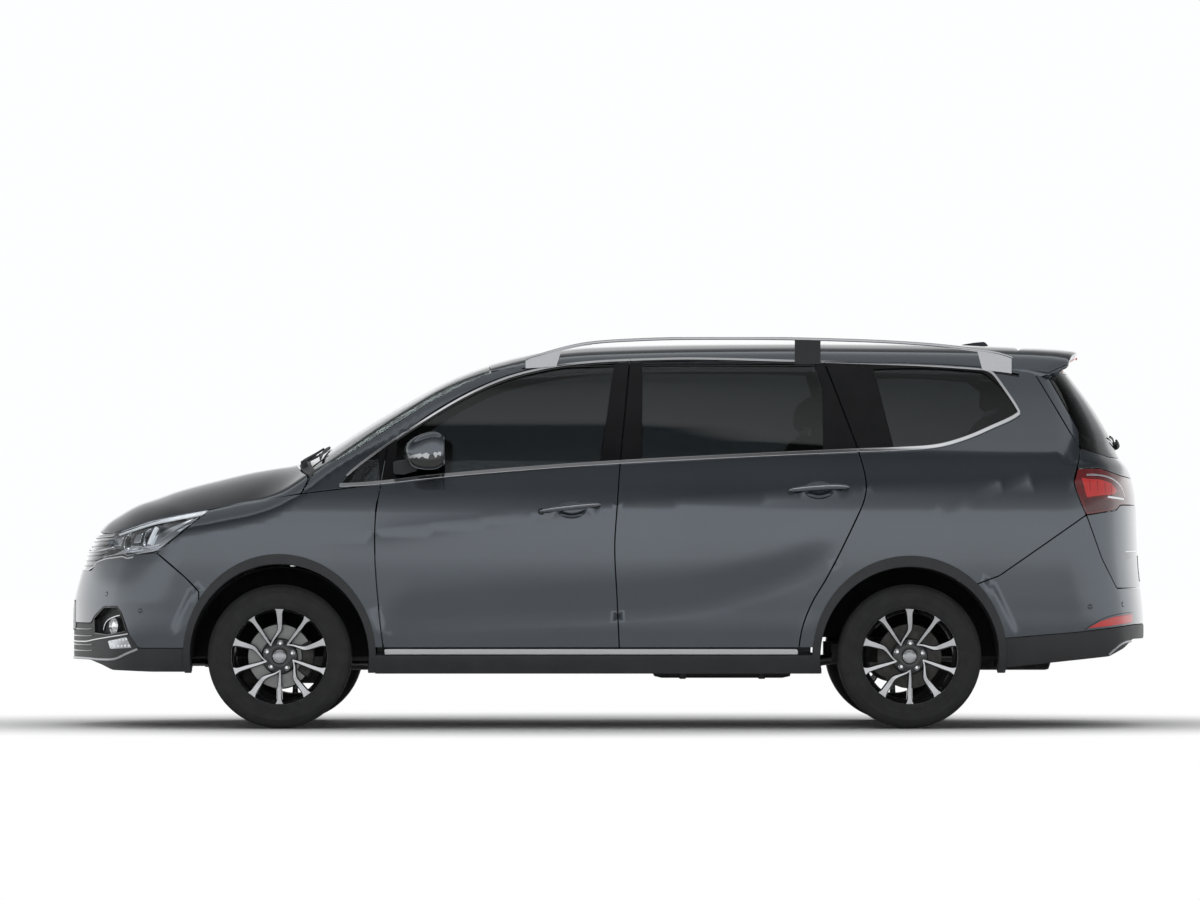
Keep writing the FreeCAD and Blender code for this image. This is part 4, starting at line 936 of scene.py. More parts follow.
GRILLE_px = ((NOSE_MID, 533.2), (84, 533.2), (107.5, 533.2), (94.6, 558.6), (89.2, 561.6), (84, 570.2), (NOSE_MID, 571))
BUMPER_px = ((NOSE_MID, 571), (84, 570.4), (89.4, 561.8), (95.3, 559), (119.5, 555.3), (155.5, 552.9),
             (184.2, 577.2), (198.2, 591.8), (198.2, 648.5), (137, 648.5), (127.5, 636), (119, 613), (114, 606.6),
             (99, 607), (88, 617), (84, 624), (NOSE_MID, 624))
FOG_px = ((87.5, 619), (99, 607.6), (114, 607.2), (118, 613), (124, 631.5), (104, 635.6), (88, 634))
CHIN_px = ((NOSE_MID, 624), (84, 624), (88, 617), (99, 607), (114, 606.6), (119, 613), (127.5, 636), (137, 648.5),
           (198.2, 648.5), (198.2, 672.5), (150, 672.5), (108.2, 671), (96.7, 666), (80, 660.5), (NOSE_MID, 660))


def nose():
    """Front bumper, its dark chin, the ground behind the grille, and the headlamps' lenses and bowls."""
    hole = arch_hole("nose", *ARCHES[0][1:3], FRONT_AXLE, near(215, 0)[0])
    skin = sheet("front_bumper_skin", "nose", [end_loop(BUMPER_px, "nose")], pair_of(hole), PAINT,
                 "body", pitch=24, gap=1.5, lip=24, both=False)
    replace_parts(skin[0], "front_bumper")
    holes = pair_of(hole) + pair_of(side_loop(FOG_px, "nose"))
    sheet("front_chin", "nose", [end_loop(CHIN_px, "nose")], holes, CLADDING, pitch=24, gap=1, lip=30,
          both=False, depth=3)
    grille = sheet("grille_back", "nose", [end_loop(GRILLE_px, "nose")], (), BLACK_GLOSS, pitch=18, gap=1,
                   lip=20, both=False, depth=14)
    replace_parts(grille[0], "grille")
    lamp = side_loop(LAMP_px, "nose")
    lens = sheet("headlamp_lens", "nose", [lamp], (), LENS, pitch=18, gap=1.2, lip=3, soft=.8, thick=1)
    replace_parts(lens[0], "headlamps")
    sheet("headlamp_bowl", "nose", [lamp], (), RIM_DARK, pitch=16, gap=2, lip=0, depth=46)


WINDOW_px = ((TAIL_MID, 370), (1064, 371), (1054.4, 376.7), (1083, 430), (1083.2, 447), (1114.5, 455.7),
             (TAIL_MID, 457.5))
GATE_px = ((TAIL_MID, 362), (1062, 362), (1035, 364), (1043, 377.3), (1072.8, 430), (1083.2, 447), (1082.6, 456),
           (1076.2, 480.6), (1079, 492), (1088.4, 514.8), (1104.6, 558.7), (1120.6, 588.6), (TAIL_MID, 588.6))
REAR_BUMPER_px = ((TAIL_MID, 588.6), (1120.6, 588.6), (1104.6, 558.7), (1088.4, 514.8), (1000, 576), (981, 583),
                  (960, 592), (960, 642), (997.4, 639.2), (1080, 632.5), (1139.8, 625.4), (TAIL_MID, 625))
REAR_CHIN_px = ((TAIL_MID, 625), (1139.8, 625.4), (1080, 632.5), (997.4, 639.2), (960, 642), (960, 671),
                (999.7, 669), (1080, 660.6), (1112.2, 657.2), (1128.5, 649), (1139, 640), (TAIL_MID, 640))


def tail():
    """Tailgate with its glass, tail lamps, rear bumper and its dark chin."""
    lamp = side_loop(TAIL_LAMP_px, "tail")
    window = end_loop(WINDOW_px, "tail")
    gate = sheet("tailgate_skin", "tail", [end_loop(GATE_px, "tail")], pair_of(lamp) + [window], PAINT, "tailgate",
                 pitch=26, gap=2.5, lip=22, both=False)
    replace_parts(gate[0], "tailgate")
    pane = sheet("tailgate_pane", "tail", [window], (), GLASS, "tailgate", pitch=26, gap=.8, lip=4, both=False,
                 depth=1.5, thick=1, plain=True, soft=.4)
    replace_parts(pane[0], "tailgate_glass")
    sheet("tailgate_border", "tail", [window], [shrink(window, 60)], BLACK_GLOSS, "tailgate", pitch=18, gap=1.2,
          lip=0, both=False, depth=6.2, plain=True)
    lens = sheet("tail_lamp_lens", "tail", [lamp], (), RED_LENS, "tailgate", pitch=16, gap=1.2, lip=10)
    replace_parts(lens[0], "tail_lamps")
    hole = arch_hole("tail", *ARCHES[1][1:3], REAR_AXLE, near(945, 0)[0])
    skin = sheet("rear_bumper_skin", "tail", [end_loop(REAR_BUMPER_px, "tail")], pair_of(hole), PAINT,
                 pitch=24, gap=1.5, lip=24, both=False)
    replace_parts(skin[0], "rear_bumper")
    sheet("rear_chin", "tail", [end_loop(REAR_CHIN_px, "tail")], pair_of(hole), CLADDING, pitch=24, gap=1,
          lip=30, both=False, depth=-1)


def cladding():
    """Dark trim round the arches and along the sills, with the bright strip over it."""
    for place, (axle, wide, tall, out_wide, out_tall) in zip(("front", "rear"), ARCHES):
        outer = ellipse_loop(axle, out_wide, out_tall)
        inner = ellipse_loop(axle, wide, tall)
        cut = near(0, 673)[1]
        outer[:, 1] = np.maximum(outer[:, 1], cut)
        sheet("%s_arch_lip" % place, "side", [outer], [inner], CLADDING, pitch=12, gap=0, lip=34,
              raise_by=6, soft=3)
    sill = loop_of(*px_runs(((374, 655.2), (823, 655.2)), ((823, 655.2), (823, 673.8)), ((823, 673.8), (374, 673.8)),
                            ((374, 673.8), (374, 655.2))))
    made = sheet("sill_skin", "side", [sill], [ellipse_loop(*ARCHES[0][:3]), ellipse_loop(*ARCHES[1][:3])], CLADDING,
                 "body", pitch=20, gap=0, lip=40, raise_by=7, soft=4)
    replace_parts(made[0], "sill_cladding")
    band = loop_of(*px_runs(((383.7, 648.9), (798, 648.9)), ((798, 648.9), (799, 654.8)),
                            ((799, 654.8), (383.7, 654.8)), ((383.7, 654.8), (383.7, 648.9))))
    sheet("sill_bright_strip", "side", [band], (), CHROME, pitch=16, gap=0, lip=14, raise_by=6, soft=4)


front_skins()
glass_and_roof()
body_sides()
nose()
tail()
cladding()


BEVEL_FROM = 28


def solid(name, points, faces, look, body="body", bevel=0.0, segments=2, angle=35.0, marks=None):
    """A piece with sharp edges kept crisp, its edges rounded by a bevel in millimetres."""
    obj = new_object(name, points, faces, look, body, marks=marks)
    obj.data.set_sharp_from_angle(angle=math.radians(angle))
    if bevel:
        soften = obj.modifiers.new("bevel", "BEVEL")
        soften.width = bevel * MM
        soften.segments = segments
        soften.limit_method = "ANGLE"
        soften.angle_limit = math.radians(BEVEL_FROM)
    return obj


def merged(*parts):
    """Several (points, faces) as one."""
    points, faces, count = [], [], 0
    for p, f in parts:
        points.append(np.asarray(p, float))
        faces += [tuple(int(i) + count for i in face) for face in f]
        count += len(p)
    return np.concatenate(points), faces


def band_faces(rows, count, closed=False, flip=False):
    """Faces between rings of points, one ring after the other; closed joins the last to the first."""
    faces = []
    for j in range(rows if closed else rows - 1):
        a, b = j * count, ((j + 1) % rows) * count
        for i in range(count):
            k = (i + 1) % count
            faces.append((a + i, a + k, b + k, b + i) if flip else (a + i, b + i, b + k, a + k))
    return faces


def end_caps(rows, count):
    """The two flat ends of an open run of rings."""
    return [tuple(range(count)), tuple(range(rows * count - 1, (rows - 1) * count - 1, -1))]


def lathe(profile, centre, axis, count=64):
    """A profile of (radius, distance along the axis) turned about an axis."""
    axis = np.asarray(axis, float) / np.linalg.norm(axis)
    u = np.cross(axis, (0, 0, 1.0) if abs(axis[2]) < .9 else (1.0, 0, 0))
    u /= np.linalg.norm(u)
    turn = turns_of(count)
    ring = np.cos(turn)[:, None] * u + np.sin(turn)[:, None] * np.cross(axis, u)
    profile = np.asarray(profile, float)
    points = (np.asarray(centre, float) + profile[:, None, :1] * ring[None] + profile[:, None, 1:] * axis)
    return points.reshape(-1, 3), band_faces(len(profile), count, flip=True)


def directions(path, closed):
    """The way a path runs at each of its points."""
    along = np.roll(path, -1, 0) - np.roll(path, 1, 0) if closed else np.gradient(path, axis=0)
    return along / np.maximum(np.linalg.norm(along, axis=1, keepdims=True), 1e-9)


def tube(path, radius, count=10, closed=False, flat=1.0, up=None):
    """A round or flattened tube along a path; the radius may change along it."""
    path = np.asarray(path, float)
    n = len(path)
    radius = np.broadcast_to(np.asarray(radius, float), (n,))
    along = directions(path, closed)
    ref = np.array(up if up is not None else (0.03, .05, 1.0), float)
    side = np.cross(along, ref)
    side /= np.maximum(np.linalg.norm(side, axis=1, keepdims=True), 1e-9)
    top = np.cross(side, along)
    turn = turns_of(count)
    points = (path[:, None] + radius[:, None, None] * (np.cos(turn)[None, :, None] * side[:, None] * flat
                                                       + np.sin(turn)[None, :, None] * top[:, None]))
    faces = band_faces(n, count, closed)
    return points.reshape(-1, 3), faces if closed else faces + end_caps(n, count)


def swept(path, section, up, closed=False):
    """A flat section of (sideways, upwards) points swept along a path; up gives the way each place faces."""
    path, up = np.asarray(path, float), np.broadcast_to(np.asarray(up, float), np.shape(path))
    along = directions(path, closed)
    side = np.cross(along, up)
    side /= np.maximum(np.linalg.norm(side, axis=1, keepdims=True), 1e-9)
    section = np.asarray(section, float)
    if section.ndim == 2:
        section = np.broadcast_to(section, (len(path),) + section.shape)
    points = path[:, None] + section[..., :1] * side[:, None] + section[..., 1:] * up[:, None]
    n, m = len(path), section.shape[1]
    faces = band_faces(n, m, closed)
    return points.reshape(-1, 3), faces if closed else faces + end_caps(n, m)


def box_of(low, high):
    (a, b, c), (d, e, f) = low, high
    points = [(a, b, c), (d, b, c), (d, e, c), (a, e, c), (a, b, f), (d, b, f), (d, e, f), (a, e, f)]
    return np.array(points, float), [(0, 3, 2, 1), (4, 5, 6, 7), (0, 1, 5, 4), (1, 2, 6, 5), (2, 3, 7, 6), (3, 0, 4, 7)]


def prism(outline, low, high, axis="y"):
    """An outline of flat points given depth: along Y the outline holds X, Z places."""
    outline = np.asarray(outline, float)
    n = len(outline)
    order = {"y": (0, 2, 1), "z": (0, 1, 2), "x": (1, 2, 0)}[axis]
    points = np.zeros((2 * n, 3))
    for k, at in enumerate((low, high)):
        points[k * n:(k + 1) * n, order[0]] = outline[:, 0]
        points[k * n:(k + 1) * n, order[1]] = outline[:, 1]
        points[k * n:(k + 1) * n, order[2]] = at
    area = np.sum(outline[:, 0] * np.roll(outline[:, 1], -1) - np.roll(outline[:, 0], -1) * outline[:, 1])
    caps = [tuple(range(n)), tuple(range(2 * n - 1, n - 1, -1))]
    sides = [(i, n + i, n + (i + 1) % n, (i + 1) % n) for i in range(n)]
    faces = caps + sides
    flip = (area > 0) == (axis in "xz")
    return points, [face[::-1] for face in faces] if flip else faces


def both(name, made, look, bodies="body", **how):
    """The same piece on the left and, mirrored, on the right."""
    points, faces = made
    pair = bodies if isinstance(bodies, tuple) else (bodies, bodies)
    left = solid(name + "_left", points, faces, look, pair[0], **how)
    right = solid(name + "_right", flip_y(points), [tuple(f)[::-1] for f in faces], look, pair[1], **how)
    return left, right


def widened(line, wide):
    """A flat loop about a line, of even width or of a width for each of its points."""
    along = np.gradient(line, axis=0)
    out = np.stack([-along[:, 1], along[:, 0]], -1)
    out /= np.maximum(np.linalg.norm(out, axis=1, keepdims=True), 1e-9)
    half = np.broadcast_to(np.asarray(wide, float) / 2, (len(line),))[:, None]
    return np.concatenate([line + out * half, (line - out * half)[::-1]])


def band_loop(px_points, wide):
    """A flat loop of even width about a line drawn in the side view."""
    return widened(line_px(px_points), wide)


def on_body(px_points, pitch=12.0):
    """A line drawn in the side view, laid on the left side, with its normals."""
    points = on_side(line_px(px_points, pitch=pitch))
    return points, normals_at(points)


STRAIGHT_TURNS = (126.0, 54.0, -18.0, -90.0, -162.0)
BOLT_CIRCLE, FIRST_NUT = 114.3, 87
HUB = (0, 0, 0)


def arm(centre_line, widths, heights, depth, draft):
    """A spoke: machined top face and dark drafted sides, along a line of X, Z places."""
    line = dense(np.column_stack([centre_line, widths, heights]), 4.0, True)
    along = np.gradient(line[:, :2], axis=0)
    along /= np.linalg.norm(along, axis=1, keepdims=True)
    out = np.stack([-along[:, 1], along[:, 0]], -1)
    rows = []
    for side, grow, drop in ((-1, draft, depth), (-1, 1.6, 3.0), (-1, 0, 0), (1, 0, 0), (1, 1.6, 3.0),
                             (1, draft, depth)):
        at = line[:, :2] + out * (side * (line[:, 2:3] / 2 + grow))
        rows.append(np.stack([at[:, 0], line[:, 3] + drop, at[:, 1]], -1))
    points = np.stack(rows, 1).reshape(-1, 3)
    faces, marks = [], []
    n, m = len(line), len(rows)
    for j in range(n - 1):
        for i in range(m - 1):
            faces.append((j * m + i, (j + 1) * m + i, (j + 1) * m + i + 1, j * m + i + 1))
            marks.append(0 if i == 2 else 1)
    return points, faces + end_caps(n, m), marks + [1, 1]


def turned_line(points, turn):
    """Polar places of (radius, degrees), turned by an angle, as flat places."""
    a = math.radians(turn)
    return [(r * math.cos(a + math.radians(t)), r * math.sin(a + math.radians(t))) for r, t in points]


def placed(points, axle, sign):
    """Wheel places, drawn with the outer face towards -Y, at an axle's left or right end."""
    points = np.asarray(points, float)
    if sign > 0:
        points = points * np.array([-1, -1, 1])
    return points + np.array([axle, sign * HUB_Y, WHEEL_Z])


def tyre_mesh():
    """Sidewalls with fine rings, and a tread of ribs cut by grooves that alternate from side to side."""
    side = [(209.5, 86), (213, 89), (219, 92.5), (224, 95.6), (228, 95.8), (230, 95.2), (238, 97.4), (246, 99.2),
            (248, 100.0), (250, 99.6), (262, 101.4), (274, 101.2), (276, 101.9), (278, 101.0), (288, 98.6),
            (296, 95.0), (302, 91.0), (306.5, 86.6), (309.5, 82.0)]
    ribs = ((-78, -52), (-46, -20), (-14, 14), (20, 46), (52, 78))
    crown_radius, crown_fall, groove, wall = 314.9, .00042, 6.5, .8
    cut_depth, twist = 5.0, .0007
    pitches = 76
    local = (0.0, .13, .155, .49, .51, .64, .665, .98)
    turn = np.array([(i + s) * 2 * math.pi / pitches for i in range(pitches) for s in local])
    kind = np.tile(np.arange(len(local)), pitches)
    columns = [(r, -y, 0) for r, y in side]
    for number, (low, high) in enumerate(ribs):
        left, right = [crown_radius - crown_fall * y * y for y in (low, high)]
        columns += [(left - groove, low - wall, 0), (left, low, number + 1), (right, high, number + 1),
                    (right - groove, high + wall, 0)]
    columns = np.array(columns + [(r, y, 0) for r, y in reversed(side)])
    radius = np.repeat(columns[None, :, 0], len(turn), 0)
    cut_a = (kind == 0) | (kind == 1)
    cut_b = (kind == 4) | (kind == 5)
    for number in range(1, 6):
        cols = columns[:, 2] == number
        cut = cut_a if number in (1, 5) else (cut_b if number in (2, 4) else np.zeros(len(turn), bool))
        radius[np.ix_(cut, cols)] -= cut_depth
    swing = np.where(columns[:, 2] > 0, columns[:, 1] * twist, 0)
    angle = turn[:, None] + swing[None]
    points = np.stack([radius * np.cos(angle), np.repeat(columns[None, :, 1], len(turn), 0),
                       radius * np.sin(angle)], -1)
    n, m = len(turn), len(columns)
    faces = []
    for j in range(n):
        k = (j + 1) % n
        for i in range(m - 1):
            faces.append((j * m + i, j * m + i + 1, k * m + i + 1, k * m + i))
    return points.reshape(-1, 3), faces


def rim_parts():
    """The dark barrel, hub and spoke sides with machined faces, the cap and nuts."""
    outer = [(206, -79), (208.5, -84.5), (212, -87.6), (216.5, -87.9), (217.8, -86), (217.8, -80), (210, -76)]
    barrel = [(204.6, -82), (200.5, -74), (198.5, -60), (190, -38), (188, 10), (190, 50), (199, 68), (205, 84),
              (212, 87), (214, 84)]
    hub = [(30.5, -66), (34, -70.5), (44, -71.5), (66, -69.5), (75, -64), (80, -54), (78, -42), (30.5, -42)]
    cap = [(0, -76.5), (18, -76), (26, -74.2), (29.6, -71.5), (30, -66)]
    groove = [(20.5, -75.9), (21.5, -76.4), (22.5, -75.6)]
    return outer, barrel, hub, cap, groove


BRAKES = {"front": ("brake_disc", [(46, -34), (62, -34), (64, -30), (138.5, -30), (139.5, -28), (139.5, -22),
                                   (136, -22), (136, -12), (139.5, -12), (139.5, -6), (70, -6)]),
          "rear": ("brake_drum", [(40, -42), (60, -42), (64, -34), (104, -33), (112, -28), (114, -10), (122, -8),
                                  (124, 10), (40, 10)])}


def make_wheels():
    """Four wheels, each with its tyre, rim, spokes, cap, nuts, valve and brake."""
    tyre_points, tyre_faces = tyre_mesh()
    outer, barrel, hub, cap, groove = rim_parts()
    straight, curved = [], []
    for turn in STRAIGHT_TURNS:
        line = turned_line([(60, 2), (100, 1), (150, 0), (188, 0), (207, 0)], turn)
        straight.append(arm(line, [6.5, 10.5, 14, 17.5, 34], [-71, -76, -81.5, -85, -87], 30, 5))
        line = turned_line([(60, 3.5), (76, -14), (96, -29), (118, -36.2), (150, -36.5), (188, -36), (207, -36)], turn)
        curved.append(arm(line, [4.5, 6, 9, 14.5, 19, 24, 38], [-71, -73, -75, -77.5, -81.5, -85, -87], 30, 5))
    nut_ring = [place for k in range(5) for place in turned_line([(BOLT_CIRCLE / 2, 0)], FIRST_NUT + 72 * k)]
    for place, axle in (("front", FRONT_AXLE), ("rear", REAR_AXLE)):
        for side, sign in SIDES:
            body = "%s_wheel_%s" % (place, side)

            def put(name, points, faces, m, sharp=38.0, marks=None, bevel=0):
                return solid("%s_%s_%s" % (place, name, side), placed(points, axle, sign), faces, m, body, bevel,
                             angle=sharp, marks=marks)
            rubber = put("tyre_tread", tyre_points, tyre_faces, RUBBER, 32)
            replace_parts(rubber, "%s_tyre_%s" % (place, side))
            ring = put("rim_bright_ring", *lathe(outer, HUB, Y_AXIS, 128), RIM_FACE, 40)
            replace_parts(ring, "%s_rim_%s" % (place, side))
            put("rim_barrel", *lathe(barrel, HUB, Y_AXIS, 96), RIM_DARK, 40)
            put("rim_hub", *lathe(hub, HUB, Y_AXIS, 64), RIM_DARK, 30)
            put("centre_cap", *merged(lathe(cap, HUB, Y_AXIS, 48), lathe(groove, HUB, Y_AXIS, 48)), SATIN, 30)
            for label, arms in (("straight_spokes", straight), ("curved_spokes", curved)):
                points, faces = merged(*[(p, f) for p, f, _ in arms])
                marks = sum((list(k) for _, _, k in arms), [])
                put(label, points, faces, [RIM_FACE, RIM_DARK], 30, marks)
            nuts = []
            for x, z in nut_ring:
                nuts.append(lathe([(0, -71.5), (6, -71.5), (9.2, -70), (9.6, -58)], (x, 0, z), Y_AXIS, 6))
                nuts.append(lathe([(9.8, -69.2), (11.5, -70.8), (13.2, -69.4)], (x, 0, z), Y_AXIS, 20))
            put("wheel_nuts", *merged(*nuts), CHROME, 25)
            stem = lathe([(0, -73), (3, -73), (3.4, -66), (4.6, -62), (4.6, -40)], (137, 0, -137), Y_AXIS, 12)
            put("valve", *stem, BLACK_PLASTIC, 30)
            brake, section = BRAKES[place]
            put(brake, *lathe(section, (0, 8, 0), Y_AXIS, 96), STEEL, 35)
            if place == "front":
                vanes = []
                for a in np.radians(np.arange(36) * 10.0):
                    start = (78 * math.cos(a), -9, 78 * math.sin(a))
                    vanes.append(tube([start, (134 * math.cos(a + .12), -9, 134 * math.sin(a + .12))], 3.0, 6))
                put("disc_vanes", *merged(*vanes), IRON, 30)


def caliper():
    """Front brake calipers and their knuckles, which steer but don't turn with the wheel."""
    for side, sign in SIDES:
        body = "knuckle_" + side
        turn = np.radians(np.linspace(-38, 28, 9))
        loop = [(r * math.cos(a), r * math.sin(a)) for r, way in ((152, 1), (96, -1)) for a in turn[::way]]
        points, faces = prism(loop, -42, 34)
        made = solid("brake_caliper_" + side, placed(points, FRONT_AXLE, sign), faces, IRON, body, 6)
        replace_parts(made, "knuckle_" + side)
        shield = lathe([(60, 32), (132, 30), (142, 24), (144, 26), (134, 33.5), (60, 36)], HUB, Y_AXIS, 72)
        solid("brake_shield_" + side, placed(shield[0], FRONT_AXLE, sign), shield[1], STEEL, body)
        upright = merged(lathe([(0, 96), (40, 96), (48, 84), (52, 36), (44, 24), (0, 24)], HUB, Y_AXIS, 40),
                         tube([(0, 60, 20), (0, 60, 150)], 25, 24),
                         tube([(0, 60, -52), (0, 60, -92)], [20, 13], 20),
                         tube([(20, 62, 0), (96, 78, -6)], [15, 9], 14))
        solid("knuckle_casting_" + side, placed(upright[0], FRONT_AXLE, sign), upright[1], IRON, body, angle=30)


make_wheels()
caliper()


DOOR_PAIRS = ((front_door, FRONT_DOORS, "front_door"), (rear_door, REAR_DOORS, "rear_door"))


def side_band(name, px_points, wide, m, raise_by=3.0, soft=2.0, lip=7.0, depth=0.0, bodies=True):
    """A strip along the side, cut where the doors part."""
    band = band_loop(px_points, wide)
    sheet(name, "side", [band], [front_door, rear_door] if bodies else (), m, pitch=14, gap=0, lip=lip,
          raise_by=raise_by, soft=soft, depth=depth, plain=True)
    if bodies:
        for door, pair, label in DOOR_PAIRS:
            piece = clip_loop(door, band)
            if len(piece) > 8:
                sheet("%s_%s" % (name, label), "side", [piece], (), m, pair, pitch=14, gap=0, lip=lip,
                      raise_by=raise_by, soft=soft, depth=depth, plain=True)


def end_line(px_points, way, pitch=8.0, curved=True):
    return WAYS[way][1](on_end(dense([near(*p) for p in px_points], pitch, curved), way))


def end_band(name, px_points, way, wide, m, body="body", across=False, raise_by=0.0, depth=0.0, lip=6.0, soft=1.6,
             curved=True):
    """A strip round the nose or tail: on both sides, or in one from side to side."""
    line = end_line(px_points, way, curved=curved)
    if across:
        line[0, 0] = 0
        line = np.concatenate([(line * np.array([-1, 1]))[::-1][:-1], line])
    return sheet(name, way, [widened(line, wide)], (), m, body, pitch=14, gap=0, lip=lip, raise_by=raise_by,
                 depth=depth, soft=soft, both=not across)


def end_patch(name, px_points, way, m, body="body", depth=0.0, raise_by=0.0, lip=5.0, soft=1.2, gap=0.0, curved=False):
    return sheet(name, way, [side_loop(px_points, way, 8.0, curved)], (), m, body, pitch=12, gap=gap, lip=lip,
                 depth=depth, raise_by=raise_by, soft=soft)


def facing(way, uv, depth=0.0):
    """A place on the body and the way it faces."""
    point = lift(way, np.array([uv], float), depth)[0]
    normal = normals_at(lift(way, np.array([uv], float)))[0]
    return point, normal


BELT_SEAL_px = {"front_door": ((396, 481.4), (437, 477.2), (530, 469.4), (598, 464.2)),
                "rear_door": ((644, 461.2), (740, 456.6), (822, 452.8))}


def bright_strips():
    """Chrome along the belt and over the side glass, and the seals beside it."""
    side_band("belt_chrome", BELT_LINE_px, 16, CHROME, raise_by=4.5)
    side_band("upper_chrome", UPPER_LINE_px, 9, CHROME, raise_by=3.5, soft=1.5)
    side_band("corner_chrome", TAIL_CORNER_px, 11, CHROME, raise_by=3.5, soft=1.5, bodies=False)
    for door, pair, label in DOOR_PAIRS:
        sheet("belt_seal_" + label, "side", [band_loop(BELT_SEAL_px[label], 7)], (), BLACK_PLASTIC, pair, pitch=14,
              gap=0, lip=10, raise_by=1.5, soft=2, plain=True)
        drip = clip_loop(door, band_loop(UPPER_LINE_px, 30))
        sheet("frame_seal_" + label, "side", [shrink(drip, 4)], (), BLACK_PLASTIC, pair, pitch=14, gap=0, lip=3,
              raise_by=.4, soft=1, plain=True)


DAY_LINE_px = ((112, 534.6), (130, 529.2), (150, 523.2), (178, 517.4), (205, 511.8))


def lamps():
    """What shows inside the headlamps."""
    lamp = side_loop(LAMP_px, "nose")
    sheet("headlamp_frame", "nose", [lamp], [shrink(lamp, 5)], CHROME, pitch=12, gap=3, lip=16, depth=6,
          soft=.8)
    count = len(end_line(DAY_LINE_px, "nose"))
    end_band("headlamp_drl", DAY_LINE_px, "nose", np.interp(np.linspace(0, 1, count), [0, .5, 1], [6, 10, 13]),
             BULB_WHITE, depth=9, raise_by=1)
    end_patch("headlamp_shelf", ((100, 556.5), (120, 553.2), (153, 550.8), (178, 531), (196, 517), (150, 536),
                                 (118, 549)), "nose", REFLECTOR, depth=26)
    end_patch("headlamp_mask", ((104, 548), (113, 533.8), (150, 522), (203, 511.5), (176, 527), (150, 539),
                                (118, 550)), "nose", RIM_DARK, depth=30)
    for number, (a, b, c, d) in enumerate(((105.5, 535.5, 120, 548.5), (127.5, 531.0, 141.5, 545.5))):
        end_patch("headlamp_lens_cell_%d" % number, ((a + 2, b + 1), (c, b - 1.4), (c - 3, d), (a - 1.5, d + .6)),
                  "nose", BLACK_GLOSS, depth=13, lip=18, soft=3)
        end_patch("headlamp_cell_pupil_%d" % number, ((a + 4.5, b + 3.5), (c - 2.5, b + 1.5), (c - 5, d - 2.8),
                                                      (a + 1.5, d - 2.4)), "nose", REFLECTOR, depth=11, lip=6, soft=2)
        end_band("headlamp_cell_frame_%d" % number, ((c + 6, b - 2.6), (c + 1.6, b + .5), (c - 1.2, d - 2),
                                                     (c + 1, d + 1), (c + 9, d + .2), (c + 15, d - .8)), "nose", 4.6,
                 CHROME, depth=9, lip=12)
    end_band("headlamp_blade", ((153, 526.5), (149.5, 534), (145.5, 544)), "nose", 17, BULB_WHITE, depth=12, lip=12)
    end_band("headlamp_low_strip", ((97, 557.2), (104, 555.8), (119, 553.6), (124, 555), (140, 552.6), (153, 550.6)),
             "nose", 5, CHROME, depth=3, lip=8)
    end_patch("headlamp_amber", ((158, 540), (176, 527.5), (192, 518.5), (176, 524), (158, 532)), "nose", SATIN,
              depth=18)


def plate_loop(low, high):
    """The blank plate's edge, unrolled on the nose or tail."""
    corners = np.array([(-PLATE_HALF, low), (PLATE_HALF, low), (PLATE_HALF, high), (-PLATE_HALF, high)], float)
    return dense(np.concatenate([corners, corners[:1]]), 20)[:-1]


def nose_bar(name, px_points, wide, look, depth, lip, soft, curved=True):
    """A bar across the whole nose, from its middle round to both sides."""
    end_band(name, ((NOSE_MID, px_points[0][1]),) + px_points, "nose", wide, look, across=True, depth=depth, lip=lip,
             soft=soft, curved=curved)


